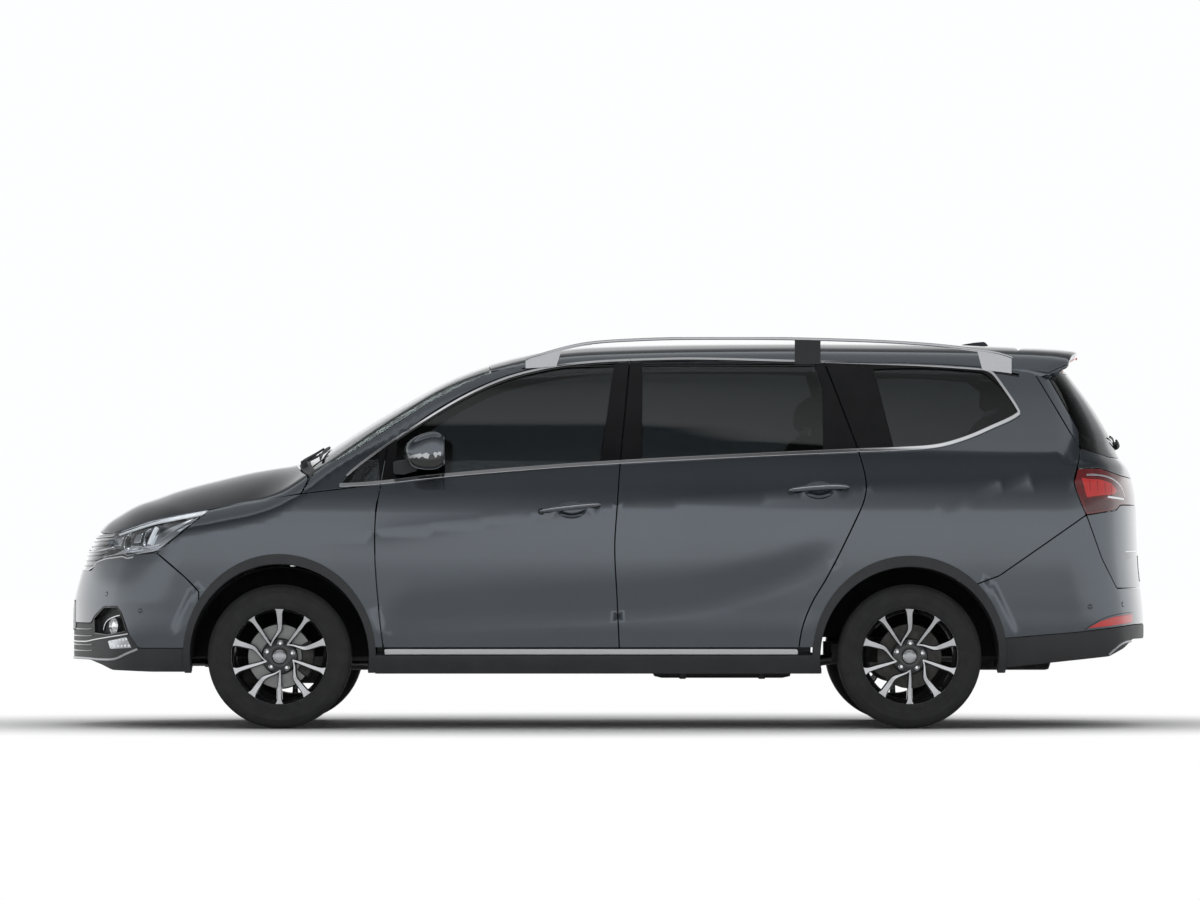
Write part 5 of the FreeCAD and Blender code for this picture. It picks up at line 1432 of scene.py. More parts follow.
def grille_and_bumper():
    """Bars, fog lamps, blank plate and parking sensors."""
    nose_bar("grille_top_bar", ((80, 536.2), (95, 535.6), (109, 534.2)), 13, CHROME, -1, 20, 3)
    for number, (low, high, wide) in enumerate(((541.5, 539.6, 3.5), (546.2, 543.2, 3.5), (555.6, 551.8, 3.5),
                                                (560.4, 554.8, 3.5), (565.2, 557.6, 3.5))):
        nose_bar("grille_slat_%d" % number, ((84, low), (104 - number, high)), wide, BLACK_GLOSS, 4, 14, 1.2)
        # A thin satin strip along each slat's upper edge: a painted highlight.
        nose_bar("grille_glint_%d" % number, ((84, low - .4), (103 - number, high - .4)), 1.4, SATIN, 3.2, 2, .5)
    end_band("grille_mid_bar", ((NOSE_MID, 551.4), (84, 551.2), (96, 549.4), (107, 547.4)), "nose", 9, CHROME,
             across=True, depth=1, lip=16, soft=2.5)
    end_band("grille_low_bar", ((NOSE_MID, 570.3), (80, 570.0), (85.5, 567), (90, 561.6), (100, 558.6), (119, 556.2),
                                (124.5, 558.2), (131, 556.8)), "nose", 7, CHROME, across=True, depth=-1.5, lip=12,
             soft=2, curved=False)
    end_patch("fog_recess", FOG_px, "nose", BLACK_PLASTIC, depth=36)
    end_band("fog_frame", FOG_px + FOG_px[:1], "nose", 6, BLACK_GLOSS, lip=16, soft=2, curved=False)
    point, normal = facing("nose", end_line(((109, 626.5), (109.2, 626.5)), "nose")[0], 20)
    both("fog_ring", lathe([(36, -8), (40, 2), (39, 9), (35, 11), (32, 7), (31, -2)], point, normal, 40), CHROME)
    both("fog_bowl", lathe([(31, 2), (22, -6), (12, -12), (0, -14)], point, normal, 32), REFLECTOR)
    both("fog_lens", lathe([(0, 8), (16, 7.4), (26, 5), (31.5, 0)], point, normal, 32), LENS)
    both("fog_bulb", lathe([(0, 0), (7, -2), (8, -8), (8, -13)], point, normal, 16), BULB_WHITE)
    end_band("fog_blade", ((97.5, 631), (99.5, 624), (104.5, 619.4), (116, 615.6)), "nose", 6, CHROME, depth=7, lip=10)
    end_patch("led_block", ((103.5, 641.6), (123.5, 637.4), (129.5, 648.2), (106, 649.6)), "nose", REFLECTOR, depth=2,
              lip=14)
    dots = []
    for row in range(2):
        for k in range(6):
            s = (k + .5) / 6
            px = 105.5 + s * (20 if row == 0 else 23)
            py = (642.6 - 3.4 * s) if row == 0 else (647.4 - 1.6 * s)
            p, n = facing("nose", end_line(((px, py), (px + .2, py)), "nose")[0], 2)
            dots.append(lathe([(5.6, -1), (5.4, 2), (3.6, 4), (0, 5)], p, n, 12))
    both("led_dots", merged(*dots), BULB_WHITE)
    nose_bar("winglet_chrome", ((78, 642.6), (88, 640.6), (104, 637.8), (126, 634.2)), 8, CHROME, -3, 14, 3)
    for number, y in enumerate((630, 637, 646, 652)):
        nose_bar("intake_slat_%d" % number, ((80, y), (86, y - .6)), 6, BLACK_GLOSS, 0, 10, 2)
    end_band("skid_strip", ((NOSE_MID, 660), (80, 659.6), (95, 660.4), (112, 659.4), (124, 654.2), (136, 649.4)),
             "nose", 12, SATIN, across=True, depth=-2.5, lip=12, soft=3)
    plate = plate_loop(425, 558)
    sheet("front_plate_blank", "nose", [plate], (), PLATE, pitch=30, gap=0, lip=6, raise_by=.6, soft=1.5,
          both=False)
    sheet("front_plate_holder", "nose", [plate], [shrink(plate, 7)], BLACK_PLASTIC, pitch=14, gap=0,
          lip=7, raise_by=.9, soft=1.5, both=False)
    for name, px, py, way in (("front_sensor", 102.3, 594.2, "nose"), ("front_side_sensor", 139, 611, "nose"),
                              ("rear_sensor", 1127.2, 604.8, "tail"), ("rear_side_sensor", 1092, 607, "tail")):
        p, n = facing(way, end_line(((px, py), (px + .3, py)), way)[0])
        both(name, lathe([(0, .6), (8.4, .5), (9.4, -.2), (9.8, -3)], p, n, 24), PAINT)
        both(name + "_ring", lathe([(9.6, -.4), (10.6, .5), (11.6, -.2)], p, n, 24), BLACK_PLASTIC)


PLATE_HALF = 260
PLATE = material("plate_blank", "lamp_clear", (.62, .63, .64), .35, vary=.03, grain=.1)


def rear_details():
    """Inner parts of the tail lamps, reflectors, handle strip, blank plate and rear wiper."""
    end_band("tail_lamp_arc", ((1089, 474.4), (1103.5, 474.6), (1113, 476.8), (1121, 480.6), (1127, 486.6),
                               (1131, 496.5)), "tail", 8, CHROME, GATE_PAIR, raise_by=1.4, lip=4)
    end_patch("tail_lamp_glow", ((1084, 477), (1089, 478.5), (1104, 479), (1115, 482.5), (1122, 490), (1118, 494),
                                 (1104, 495), (1089, 497)), "tail", RED_BRIGHT, GATE_PAIR, raise_by=.9,
              lip=3)
    end_patch("tail_lamp_shade", ((1085, 499), (1104, 497.5), (1121, 502), (1118, 507), (1090, 512)), "tail", RED_DARK,
              GATE_PAIR, raise_by=.8, lip=3)
    end_band("tail_lamp_clear", ((1111, 496.4), (1120, 497.4), (1130, 498.6)), "tail", 11, REFLECTOR,
             GATE_PAIR, raise_by=1.3, lip=3)
    for number, (x, y) in enumerate(((1092, 483), (1100, 484), (1108, 485.5), (1115, 488))):
        end_band("tail_lamp_rib_%d" % number, ((x, y - 3.6), (x + .8, y + 7)), "tail", 2.2, RED_DARK,
                 GATE_PAIR, raise_by=1.3, lip=2, soft=.5, curved=False)
    # The reflectors take the glowing red of the lamps: a painted glow, since a reflector is no lamp.
    end_patch("rear_reflector", ((1090, 628.4), (1104, 621.2), (1118.3, 617), (1139, 614.6), (1138.6, 623),
                                 (1110, 626.6)), "tail", RED_BRIGHT, raise_by=1.6, lip=6, soft=1.5)
    end_band("rear_reflector_frame", ((1086, 630.6), (1103, 620.2), (1118, 615.4), (1139.4, 612.8)), "tail", 4,
             BLACK_GLOSS, raise_by=2, lip=5)
    end_band("rear_skid_trim", ((1112, 655.6), (1121, 648), (1128.5, 643.4), (1137.5, 642)), "tail", 12, SATIN,
             raise_by=2, lip=10, soft=3)
    end_band("tailgate_handle", ((TAIL_MID, 556), (1133.6, 556), (1131.5, 556)), "tail", 34, BLACK_GLOSS, "tailgate",
             across=True, lip=12, soft=4)
    end_band("tailgate_chrome", ((TAIL_MID, 551.4), (1134, 551.4), (1131, 551.6)), "tail", 9, CHROME, "tailgate",
             across=True, raise_by=1.5, lip=10, soft=3)
    plate = plate_loop(640, 755)
    sheet("rear_plate_blank", "tail", [plate], (), PLATE, "tailgate", pitch=30, gap=0, lip=4, raise_by=.8, soft=1.5,
          both=False)
    sheet("rear_plate_holder", "tail", [plate], [shrink(plate, 7)], BLACK_PLASTIC, "tailgate", pitch=14, gap=0, lip=5,
          raise_by=1.2, soft=1.5, both=False)
    spoiler()
    p, n = facing("tail", (0.0, 1243.0))
    solid("rear_wiper_pivot", *lathe([(0, 26), (14, 24), (18, 18), (19, -6)], p, n, 28), BLACK_PLASTIC, "tailgate",
          angle=30)
    arm_line = lift("tail", dense([(0.0, 1243.0), (120, 1252), (250, 1268)], 12, True), -20)
    blade_line = lift("tail", dense([(60.0, 1262.0), (200, 1274), (370, 1282)], 12, True), -7)
    solid("rear_wiper_arm", *tube(arm_line, np.linspace(9, 5, len(arm_line)), 10), BLACK_PLASTIC, "tailgate")
    solid("rear_wiper_blade", *tube(blade_line, 6.0, 8, flat=.6), BLACK_PLASTIC, "tailgate")


SPOILER_px = ((1024, 350.0), (1040, 350.3), (1060, 351.6), (1074, 353.4), (1077, 354.8), (1077, 357.4),
              (1075.4, 359.6), (1071.6, 361.4), (1066, 368.4), (1060, 370.6), (1046, 368), (1030, 360))


SPOILER_HALF = 596


def spoiler():
    """The lip over the rear glass: one section carried across the car and bowed with the roof."""
    section = np.array([mid(*p) for p in SPOILER_px])
    ends = np.linspace(540, SPOILER_HALF, 6)
    ys = np.concatenate([-ends[::-1], np.linspace(-520, 520, 27), ends])
    points, m = [], len(section)
    for y in ys:
        s = abs(y) / HALF
        local = section + np.array([-TAIL_WRAP * HALF * s * s, 0])
        roof_z = on_roof(local[:1, 0], y)[0, 2]
        local = local + np.array([0, roof_z - local[0, 1] + 1.5])
        thin = 1 - step01(abs(y), 530, 598) * .72
        local[:, 0] = local[0, 0] + (local[:, 0] - local[0, 0]) * (1 - step01(abs(y), 540, 600) * .30)
        top = np.interp(local[:, 0], local[:5, 0], local[:5, 1])
        local[:, 1] = top + (local[:, 1] - top) * thin
        points.append(np.column_stack([local[:, 0], np.full(m, y), local[:, 1]]))
    points = np.concatenate(points)
    faces = band_faces(len(ys), m, flip=True) + [cap[::-1] for cap in end_caps(len(ys), m)]
    solid("tailgate_spoiler", points, faces, PAINT, "tailgate", angle=40)
    tip = np.array(mid(1076.2, 358.6))
    line = []
    for y in np.linspace(-190, 190, 21):
        s = abs(y) / HALF
        line.append((tip[0] - TAIL_WRAP * HALF * s * s + 1, y, tip[1] - ROOF_CROWN * HALF * s * s * 2))
    solid("high_brake_lamp", *swept(line, [(-5, -3), (5, -3), (5, 3), (-5, 3)], (1.0, 0, -.3)), RED_BRIGHT, "tailgate",
          1.0)


MIRROR_px = ((403, 452), (405.5, 444.5), (412, 438.2), (422, 433.6), (432, 431.6), (439, 433.6), (443.2, 440),
             (444.7, 449), (443.6, 459), (440, 466.4), (432, 469.8), (420, 469.6), (411, 467), (405.5, 461))


# From the door outwards: distance from the car's middle, and size as a share of the outline
MIRROR_RINGS = ((903, .72), (906, .90), (914, .985), (930, 1.0), (985, 1.0), (1015, .985), (1034, .95), (1048, .88),
                (1057, .77), (1061.5, .62), (1063.3, .42), (1063.8, .18))
MIRROR_LEAN, MIRROR_STRIP = .10, 7


def mirrors():
    """Mirror shells from rings of the drawn outline, with glass, bezel and foot."""
    outline = loop_of(*px_runs(MIRROR_px + MIRROR_px[:1]), pitch=7.0)
    centre = outline.mean(0) + np.array([14.0, 0])
    rings = []
    for y, s in MIRROR_RINGS:
        flat = centre + (outline - centre) * s
        lean = (y - MIRROR_RINGS[0][0]) * MIRROR_LEAN
        rings.append(np.column_stack([np.minimum(flat[:, 0] + lean, outline[:, 0].max()), np.full(len(flat), -y),
                                      flat[:, 1]]))
    n = len(outline)
    points = np.concatenate(rings)
    faces, marks = band_faces(len(rings), n, flip=True), []
    strip = np.polyfit(*zip(near(414, 456.8), near(441, 454.2)), 1)
    for face in faces:
        middle = points[list(face)].mean(0)
        off = middle[2] - np.polyval(strip, middle[0])
        on_strip = abs(off) < MIRROR_STRIP and middle[0] < near(441, 0)[0]
        marks.append(1 if on_strip else (2 if off < -MIRROR_STRIP else 0))
    faces += [cap[::-1] for cap in end_caps(len(rings), n)]
    marks += [2, 0]
    for side, sign in SIDES:
        body = "front_door_" + side
        p = points if sign < 0 else flip_y(points)
        f = faces if sign < 0 else [face[::-1] for face in faces]
        made = solid("mirror_shell_" + side, p, f, [PAINT, SATIN, BLACK_GLOSS], body, angle=60, marks=marks)
        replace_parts(made, "mirror_" + side)
    x = outline[:, 0].max()
    low, high = near(0, 464)[1], near(0, 438)[1]
    glass = box_of((x - 2, -1040, low), (x + .4, -922, high))
    both("mirror_glass", glass, MIRROR_FACE, FRONT_DOORS, bevel=1)
    frame = box_of((x - 8, -1048, low - 8), (x - 1, -914, high + 8))
    both("mirror_bezel", frame, BLACK_PLASTIC, FRONT_DOORS, bevel=4)
    foot = [near(*p) for p in ((393, 462), (404, 459.5), (416, 462), (417, 470.5), (404, 474.5), (393.5, 474))]
    both("mirror_foot", prism(dense(foot + foot[:1], 8)[:-1], -912, -848), BLACK_PLASTIC, FRONT_DOORS, bevel=5)


MIRROR_FACE = material("mirror_glass", "chrome", (.72, .75, .78), .02, metal=1.0, vary=.01, rough_vary=.01)


def bowl(name, px, py, wide, tall, deep, pair):
    """A hand recess pressed into a door's skin."""
    middle = np.array(near(px, py))
    rows, count = 9, 40
    uv = []
    for r in np.arange(rows) / (rows - 1):
        for i in range(count):
            a = 2 * math.pi * i / count
            uv.append((middle[0] + wide * r * math.cos(a), middle[1] + tall * r * math.sin(a)))
    pos = lift("side", np.array(uv))
    norm = normals_at(pos)
    share = np.repeat(np.linspace(0, 1, rows), count)
    pos = pos - norm * (deep * (1 - share ** 3) ** .8 + .8)[:, None]
    both(name, (pos, band_faces(rows, count)), PAINT, pair, angle=60)


GRIP_px = {"front_door": ((539.5, 511.4), (551, 509.9), (571, 507.9), (591, 505.9), (600.6, 504.9)),
           "rear_door": ((789.5, 490.9), (801, 490.2), (820, 488.9), (840, 487.8), (849.6, 487.4))}


def handles():
    """Door handles over their recesses, and the lock's cover."""
    for label, line in GRIP_px.items():
        pair = (label + "_left", label + "_right")
        bowl(label + "_handle_bowl", *HANDLE_px[label], *HAND_BOWL, pair)
        points, normals = on_body(line, 8.0)
        s = np.linspace(0, 1, len(points))
        lift_by = 3 + 25 * np.clip(np.sin(math.pi * s), 0, 1) ** .45
        path = points + normals * lift_by[:, None]
        radius = np.interp(s, [0, .06, .2, .5, .8, .94, 1], [5, 8.5, 12, 13.5, 12.5, 9.5, 6])
        both(label + "_handle", tube(path, radius, 16, flat=.5), PAINT, pair, angle=70)
        # A thin chrome tube along the handle's top: a painted highlight.
        both(label + "_handle_glint", tube(path + normals * 5.2 + np.array([0, 0, 2.0]), radius * .16, 8), CHROME,
             pair, angle=70)
        for number, at in enumerate((.05, .95)):
            i = int(at * (len(points) - 1))
            both("%s_handle_seat_%d" % (label, number), lathe([(0, 4), (13, 3), (16, -2)], points[i], normals[i], 24),
                 BLACK_PLASTIC, pair, angle=40)
    p, n = on_body(((596.5, 505.3), (598.0, 505.2)))
    both("lock_cover", lathe([(0, 8), (6, 7), (7.5, 2)], p[0], n[0], 20), SATIN, FRONT_DOORS)


RAIL_px = ((523.5, 357.2), (530, 354.2), (541, 350.9), (558, 345.9), (579.6, 340.9), (600, 338.3), (620, 336.9),
           (660, 335.2), (700, 334.6), (780, 334.8), (860, 336.8), (900, 338.6), (940, 341.4), (975, 345.4),
           (1000, 349.2), (1017, 354.6))
RAIL_SHARE, RAIL_FOOT_HALF, FOOT_SHELF = .685, 10, 5
FIN_px = ((958, 346.0), (964, 343.9), (974, 342.2), (984.2, 341.2), (986.8, 342.2), (990.6, 347.6))


def rails():
    """Roof rails on three feet each, the ditch strips and the fin."""
    y = -HALF * RAIL_SHARE
    flat = dense([near(*p) for p in RAIL_px], 14, True)
    path = np.column_stack([flat[:, 0], np.full(len(flat), y), flat[:, 1]])
    s = np.linspace(0, 1, len(path))
    tall = np.interp(s, [0, .05, .15, .85, .95, 1], [7, 11, 13, 13, 11, 7])
    wide = np.interp(s, [0, .05, .15, .85, .95, 1], [8, 11, 13, 13, 11, 8])
    shape = np.array([(-1, -.8), (-.75, -1), (.75, -1), (1, -.8), (1, -.25), (.7, 0), (-.7, 0), (-1, -.25)])
    section = shape[None] * np.stack([wide, tall], -1)[:, None]
    rail = both("roof_rail", swept(path, section, UP), SATIN, angle=50)
    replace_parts(rail[0], "roof_rails")
    for label, a, b, m in (("front", 525, 592, SATIN), ("middle", 797, 823, BLACK_PLASTIC), ("rear", 952, 1016, SATIN)):
        x = np.linspace(near(a, 0)[0], near(b, 0)[0], 14)
        under = np.interp(x, flat[:, 0], flat[:, 1]) - (10 if m is SATIN else 12)
        roof = on_roof(x, y)[:, 2] - 2
        if label == "front":
            under = np.minimum(under, np.maximum(roof + 1, under))
            open_at = x > near(556, 0)[0]
            roof = np.where(open_at, np.maximum(roof, under - FOOT_SHELF), roof)
        if label == "rear":
            open_at = x < near(985, 0)[0]
            roof = np.where(open_at, np.maximum(roof, under - FOOT_SHELF), roof)
        outline = np.concatenate([np.stack([x, np.maximum(under, roof + .5)], -1), np.stack([x, roof], -1)[::-1]])
        both("roof_rail_foot_" + label, prism(outline, y - RAIL_FOOT_HALF, y + RAIL_FOOT_HALF), m, angle=40)
    ditch = on_roof(np.linspace(near(536, 0)[0], TAIL_SEAM_X - 12, 60), -ROOF_HALF - 2)
    both("roof_ditch_strip", swept(ditch - 1.5 * UP, [(-5, -3), (5, -3), (4, 1.2), (-4, 1.2)], UP), BLACK_PLASTIC,
         angle=50)
    fin_outline = [mid(*p) for p in FIN_px]
    points, faces = prism(dense(fin_outline + fin_outline[:1], 8)[:-1], -1, 1)
    top, low = points[:, 2].max(), points[:, 2].min()
    points[:, 1] *= 1.2 + 10.4 * ((top - points[:, 2]) / (top - low)) ** .8
    solid("antenna_fin", points, faces, PAINT, angle=35)


def wipers():
    """The two wipers of the windscreen."""
    for label, pivot, start, end in (("driver", -330.0, -650.0, -40.0), ("passenger", 330.0, 60.0, 600.0)):
        y = np.linspace(start, end, 30)
        base = bowed(SCREEN_FOOT, y)
        s = (y - start) / (end - start)
        line = np.stack([base + 34 + 52 * (s if label == "driver" else s), y], -1)
        blade = lift("top", line, -9, True)
        solid("wiper_blade_" + label, *tube(blade, np.interp(s, [0, .05, .95, 1], [3, 6, 6, 3]), 8, up=(0, 0, 1.0)),
              BLACK_PLASTIC, angle=50)
        squeegee = lift("top", line, -3, True)
        solid("wiper_rubber_" + label, *tube(squeegee, 2.2, 6), RUBBER, angle=50)
        at = 15
        arm_flat = dense([(-1352.0 + 10, pivot - 120), (-1322, pivot - 60), tuple(line[at])], 14, True)
        arm_line = lift("top", arm_flat, -20, True)
        solid("wiper_arm_" + label, *tube(arm_line, np.linspace(9, 4.5, len(arm_line)), 10, flat=1.2), BLACK_PLASTIC,
              "body", angle=60)
        p = lift("top", arm_flat[:1], -4, True)[0]
        solid("wiper_pivot_" + label, *lathe([(0, 24), (12, 22), (15, 14), (16, -14)], p, (-.2, 0, 1), 24),
              BLACK_PLASTIC, angle=30)


bright_strips()
lamps()
grille_and_bumper()
rear_details()
mirrors()
handles()
rails()
wipers()


def cushion(low, high, round_by):
    """A rounded box in small faces, for padded and moulded pieces."""
    low, high = np.array(low, float), np.array(high, float)
    middle, half = (low + high) / 2, (high - low) / 2
    counts = np.maximum(2, np.round(2 * half / CUSHION_PITCH).astype(int))
    reach = min(round_by, half.min() * .95)
    points, faces, index = [], [], {}

    def place(i, j, k):
        key = (i, j, k)
        if key not in index:
            s = 2 * np.array([i, j, k]) / counts - 1
            p = middle + s * half
            inner = half - reach
            q = np.clip(p - middle, -inner, inner)
            d = p - middle - q
            n = np.linalg.norm(d)
            index[key] = len(points)
            points.append(middle + q + (d / n * reach if n > 1e-6 else 0))
        return index[key]
    a, b, c = counts
    for i in range(a):
        for j in range(b):
            faces.append((place(i, j, 0), place(i, j + 1, 0), place(i + 1, j + 1, 0), place(i + 1, j, 0)))
            faces.append((place(i, j, c), place(i + 1, j, c), place(i + 1, j + 1, c), place(i, j + 1, c)))
    for i in range(a):
        for k in range(c):
            faces.append((place(i, 0, k), place(i + 1, 0, k), place(i + 1, 0, k + 1), place(i, 0, k + 1)))
            faces.append((place(i, b, k), place(i, b, k + 1), place(i + 1, b, k + 1), place(i + 1, b, k)))
    for j in range(b):
        for k in range(c):
            faces.append((place(0, j, k), place(0, j, k + 1), place(0, j + 1, k + 1), place(0, j + 1, k)))
            faces.append((place(a, j, k), place(a, j + 1, k), place(a, j + 1, k + 1), place(a, j, k + 1)))
    return np.array(points), faces


def leant(points, foot_z, lean):
    """Leans a backrest about its foot."""
    points = points.copy()
    points[:, 0] += (points[:, 2] - foot_z) * lean
    return points


def soft(name, points, faces, look):
    """A piece of foam under cloth."""
    piece = solid(name, points, faces, look, angle=180)
    turn = piece.modifiers.new("soft", "SUBSURF")
    turn.levels = turn.render_levels = 1
    return piece


def seat(label, x, y, width, base, top, back_top, head_low, head_high, first):
    """A car seat from its cushion's front edge: bolstered cushion, leant back, headrest on two posts."""
    hip, depth, thick, lean, wing = SEAT_HIP, SEAT_DEPTH, BACK_THICK, BACK_LEAN, BOLSTER_WIDE
    ground = (CABIN_FLOOR if base < REAR_BASE else BOOT_FLOOR) + 1
    inner_half, foot_z = width / 2 - wing, top - 50
    hinge_z, back_x = foot_z + 50, x + hip

    def wings(s):
        """The lower and higher Y of the bolster on one side."""
        return sorted((y + s * inner_half, y + s * width / 2))
    core, core_faces = cushion((x, y - inner_half, base + 10), (x + depth - 10, y + inner_half, top - 2), 46)
    first_piece = soft("%s_cushion" % label, core, core_faces, FABRIC)
    for k, s in enumerate((-1, 1)):
        low, high = wings(s)
        made = cushion((x + 6, low, base + 12), (x + depth - 8, high, top), 34)
        soft("%s_cushion_bolster_%d" % (label, k), *made, TRIM_CLOTH)
    p, faces = cushion((back_x, y - inner_half, foot_z), (back_x + thick - 8, y + inner_half, back_top - 4), 44)
    soft("%s_back" % label, leant(p, hinge_z, lean), faces, FABRIC)
    for k, s in enumerate((-1, 1)):
        low, high = wings(s)
        p, faces = cushion((back_x - 14, low, foot_z + 6), (back_x + thick - 4, high, back_top - 40), 36)
        pinch = np.clip((p[:, 2] - (back_top - 260)) / 220, 0, 1)
        p[:, 1] = np.where(s * (p[:, 1] - y) > width / 2 - wing * .6, p[:, 1] - s * 34 * pinch ** 2, p[:, 1])
        soft("%s_back_bolster_%d" % (label, k), leant(p, hinge_z, lean), faces, TRIM_CLOTH)
    p, faces = cushion((back_x + thick - 22, y - width / 2 + 26, foot_z + 30),
                       (back_x + thick - 2, y + width / 2 - 26, back_top - 30), 10)
    solid("%s_back_panel" % label, leant(p, hinge_z, lean), faces, TRIM, angle=60)
    over = back_x + (back_top - foot_z - 50) * lean + 14
    p, faces = cushion((over, y - 122, head_low), (over + 92, y + 122, head_high), 42)
    p = leant(p, head_low, .16)
    p[:, 1] = y + (p[:, 1] - y) * (1 - .16 * np.clip((p[:, 2] - head_low - 70) / 80, 0, 1))
    soft("%s_headrest" % label, p, faces, TRIM_CLOTH)
    for k, s in enumerate((-1, 1)):
        post = [(over + 44 - 12, y + s * 70, back_top - 40), (over + 46, y + s * 70, head_low + 20)]
        solid("%s_headrest_post_%d" % (label, k), *tube(dense(post, 12), 7, 12), CHROME, angle=60)
        guide = lathe([(0, 8), (13, 7), (15, 1), (15, -8)], post[0] + np.array([4, 0, 34.0]), (.2, 0, 1), 20)
        solid("%s_headrest_guide_%d" % (label, k), *guide, TRIM, angle=40)
    lines = [y + s * (width / 2 - 70) for s in (-1, 1)]
    rails_made = [box_of((x + 60, at - 22, ground), (back_x, at + 22, ground + 21)) for at in lines]
    frame_made = box_of((x + 30, y - width / 2 + 22, base - 16), (x + depth - 40, y + width / 2 - 22, base + 24))
    foot, head = ground + 19, base - 10
    legs = [prism([(x + a, foot), (x + b, foot), (x + c, head), (x + d, head)], at - 14, at + 14)
            for a, b, c, d in ((90, 170, 210, 60), (330, 410, 440, 300)) for at in lines]
    solid("%s_mount" % label, *merged(*rails_made, frame_made, *legs), TRIM, bevel=3, angle=40)
    inboard = y + (width / 2 + 4) * (1 if y < 0 else -1)
    buckle = box_of((back_x - 40, inboard - 12, top - 80), (back_x - 8, inboard + 12, top + 42))
    solid("%s_buckle" % label, *buckle, [TRIM, RED_LENS], bevel=5, marks=[0, 1, 0, 0, 0, 0])
    if first is not None:
        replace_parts(first_piece, first)


SEAT_HIP, SEAT_DEPTH, BACK_THICK, BACK_LEAN, BOLSTER_WIDE, CUSHION_PITCH = 440.0, 500.0, 120.0, 132.5 / 530.0, 78.0, 42
CABIN_FLOOR, BOOT_FLOOR, REAR_BASE = 330, 440, 700
VENT_PLACES = (-610, -180, 180, 610)
TRIM_CLOTH = material("bolster_cloth", "fabric", (.045, .046, .050), .80, grain=1.0, grain_scale=1100, vary=.15,
                      vary_scale=40, sheen=.2)


def cabin():
    """Seats, dashboard, console, carpets and pedals."""
    for side, sign in SIDES:
        for row, x, y, width, base in (("front_seat", -560.0, 360.0, 520.0, 630.0),
                                       ("middle_seat", 250.0, 360.0, 520.0, 630.0),
                                       ("rear_seat", 1090.0, 270.0, 500.0, 720.0)):
            seat("%s_%s" % (row, side), x, sign * y, width, base, base + 130, base + 660, base + 682, base + 832,
                 row + "s" if side == "left" else None)
    dash = [(-1164, 770), (-1164, 985), (-1110, 1014), (-1010, 1036), (-930, 1036), (-872, 1014), (-842, 965),
            (-848, 900), (-880, 840), (-930, 790), (-1010, 768)]
    made = solid("dash_top", *prism(dense(dash + dash[:1], 30)[:-1], -692, 692), TRIM, bevel=8, angle=40)
    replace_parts(made, "dashboard")
    hood_line = [(-1010, 1034), (-960, 1039.5), (-880, 1038), (-838, 1012), (-836, 990), (-850, 985), (-890, 1012),
                 (-1000, 1022)]
    solid("dash_binnacle", *prism(hood_line, -500, -220), TRIM, bevel=6, angle=40)
    solid("dash_silver_band", *prism([(-846, 905), (-838, 930), (-833, 930), (-838, 902)], -660, 660), SATIN, bevel=2)
    solid("dash_screen", *box_of((-852, -120, 925), (-832, 120, 1032)), BLACK_GLOSS, bevel=5)
    solid("dash_heater_panel", *box_of((-866, -110, 800), (-842, 110, 895)), BLACK_GLOSS, bevel=6)
    vents = [box_of((-846, y - 48, 938 + k * 13), (-834, y + 48, 943 + k * 13)) for y in VENT_PLACES for k in range(5)]
    solid("dash_vent_blades", *merged(*vents), BLACK_PLASTIC, bevel=1)
    rings = [box_of((-850, y - 58, 928), (-840, y + 58, 1006)) for y in VENT_PLACES]
    solid("dash_vents", *merged(*rings), BLACK_GLOSS, bevel=6)
    knobs = [lathe([(0, 22), (16, 21), (18, 17), (19, 0)], (-842, y, 862), (1.0, 0, 0), 28) for y in (-70, 0, 70)]
    solid("dash_knobs", *merged(*knobs), SATIN, angle=40)
    solid("dash_glove_box", *box_of((-886, 240, 800), (-846, 620, 900)), TRIM, bevel=8)
    steering()
    console = [(-840, 340), (-840, 640), (-760, 640), (-700, 600), (-560, 585), (-330, 590), (-150, 640), (-30, 640),
               (-20, 600), (-20, 340)]
    solid("centre_console", *prism(dense(console + console[:1], 60)[:-1], -96, 96), TRIM, bevel=14, angle=40)
    solid("gear_plate", *box_of((-700, -52, 604), (-520, 52, 612)), BLACK_GLOSS, bevel=3)
    solid("gear_boot", *lathe([(44, 0), (34, 22), (20, 48), (12, 60)], (-620, 0, 610), (0, 0, 1), 24), TRIM, angle=70)
    knob = [(0, 56), (17, 52), (24, 36), (20, 14), (11, 0), (8, -60)]
    solid("gear_knob", *lathe(knob, (-620, 0, 720), (0, 0, 1), 28), SATIN, angle=40)
    solid("cabin_carpet", *box_of((-1008, -758, 330.2), (883, 758, 331.5)), CARPET)
    solid("boot_carpet", *box_of((847, -478, 440.2), (2240, 478, 442.0)), CARPET)
    mats = [box_of((-960, s * 360 - 230, 331.4), (-600, s * 360 + 230, 336)) for s in (-1, 1)]
    mats += [box_of((-60, s * 360 - 220, 331.4), (220, s * 360 + 220, 336)) for s in (-1, 1)]
    solid("floor_mats", *merged(*mats), CARPET, bevel=2)
    carry("floor_pan", CLADDING)
    pedals = [box_of((-1006, y - 30, 400), (-994, y + 30, 470)) for y in (-470, -380, -290)]
    solid("pedals", *merged(*pedals), RUBBER, bevel=3)


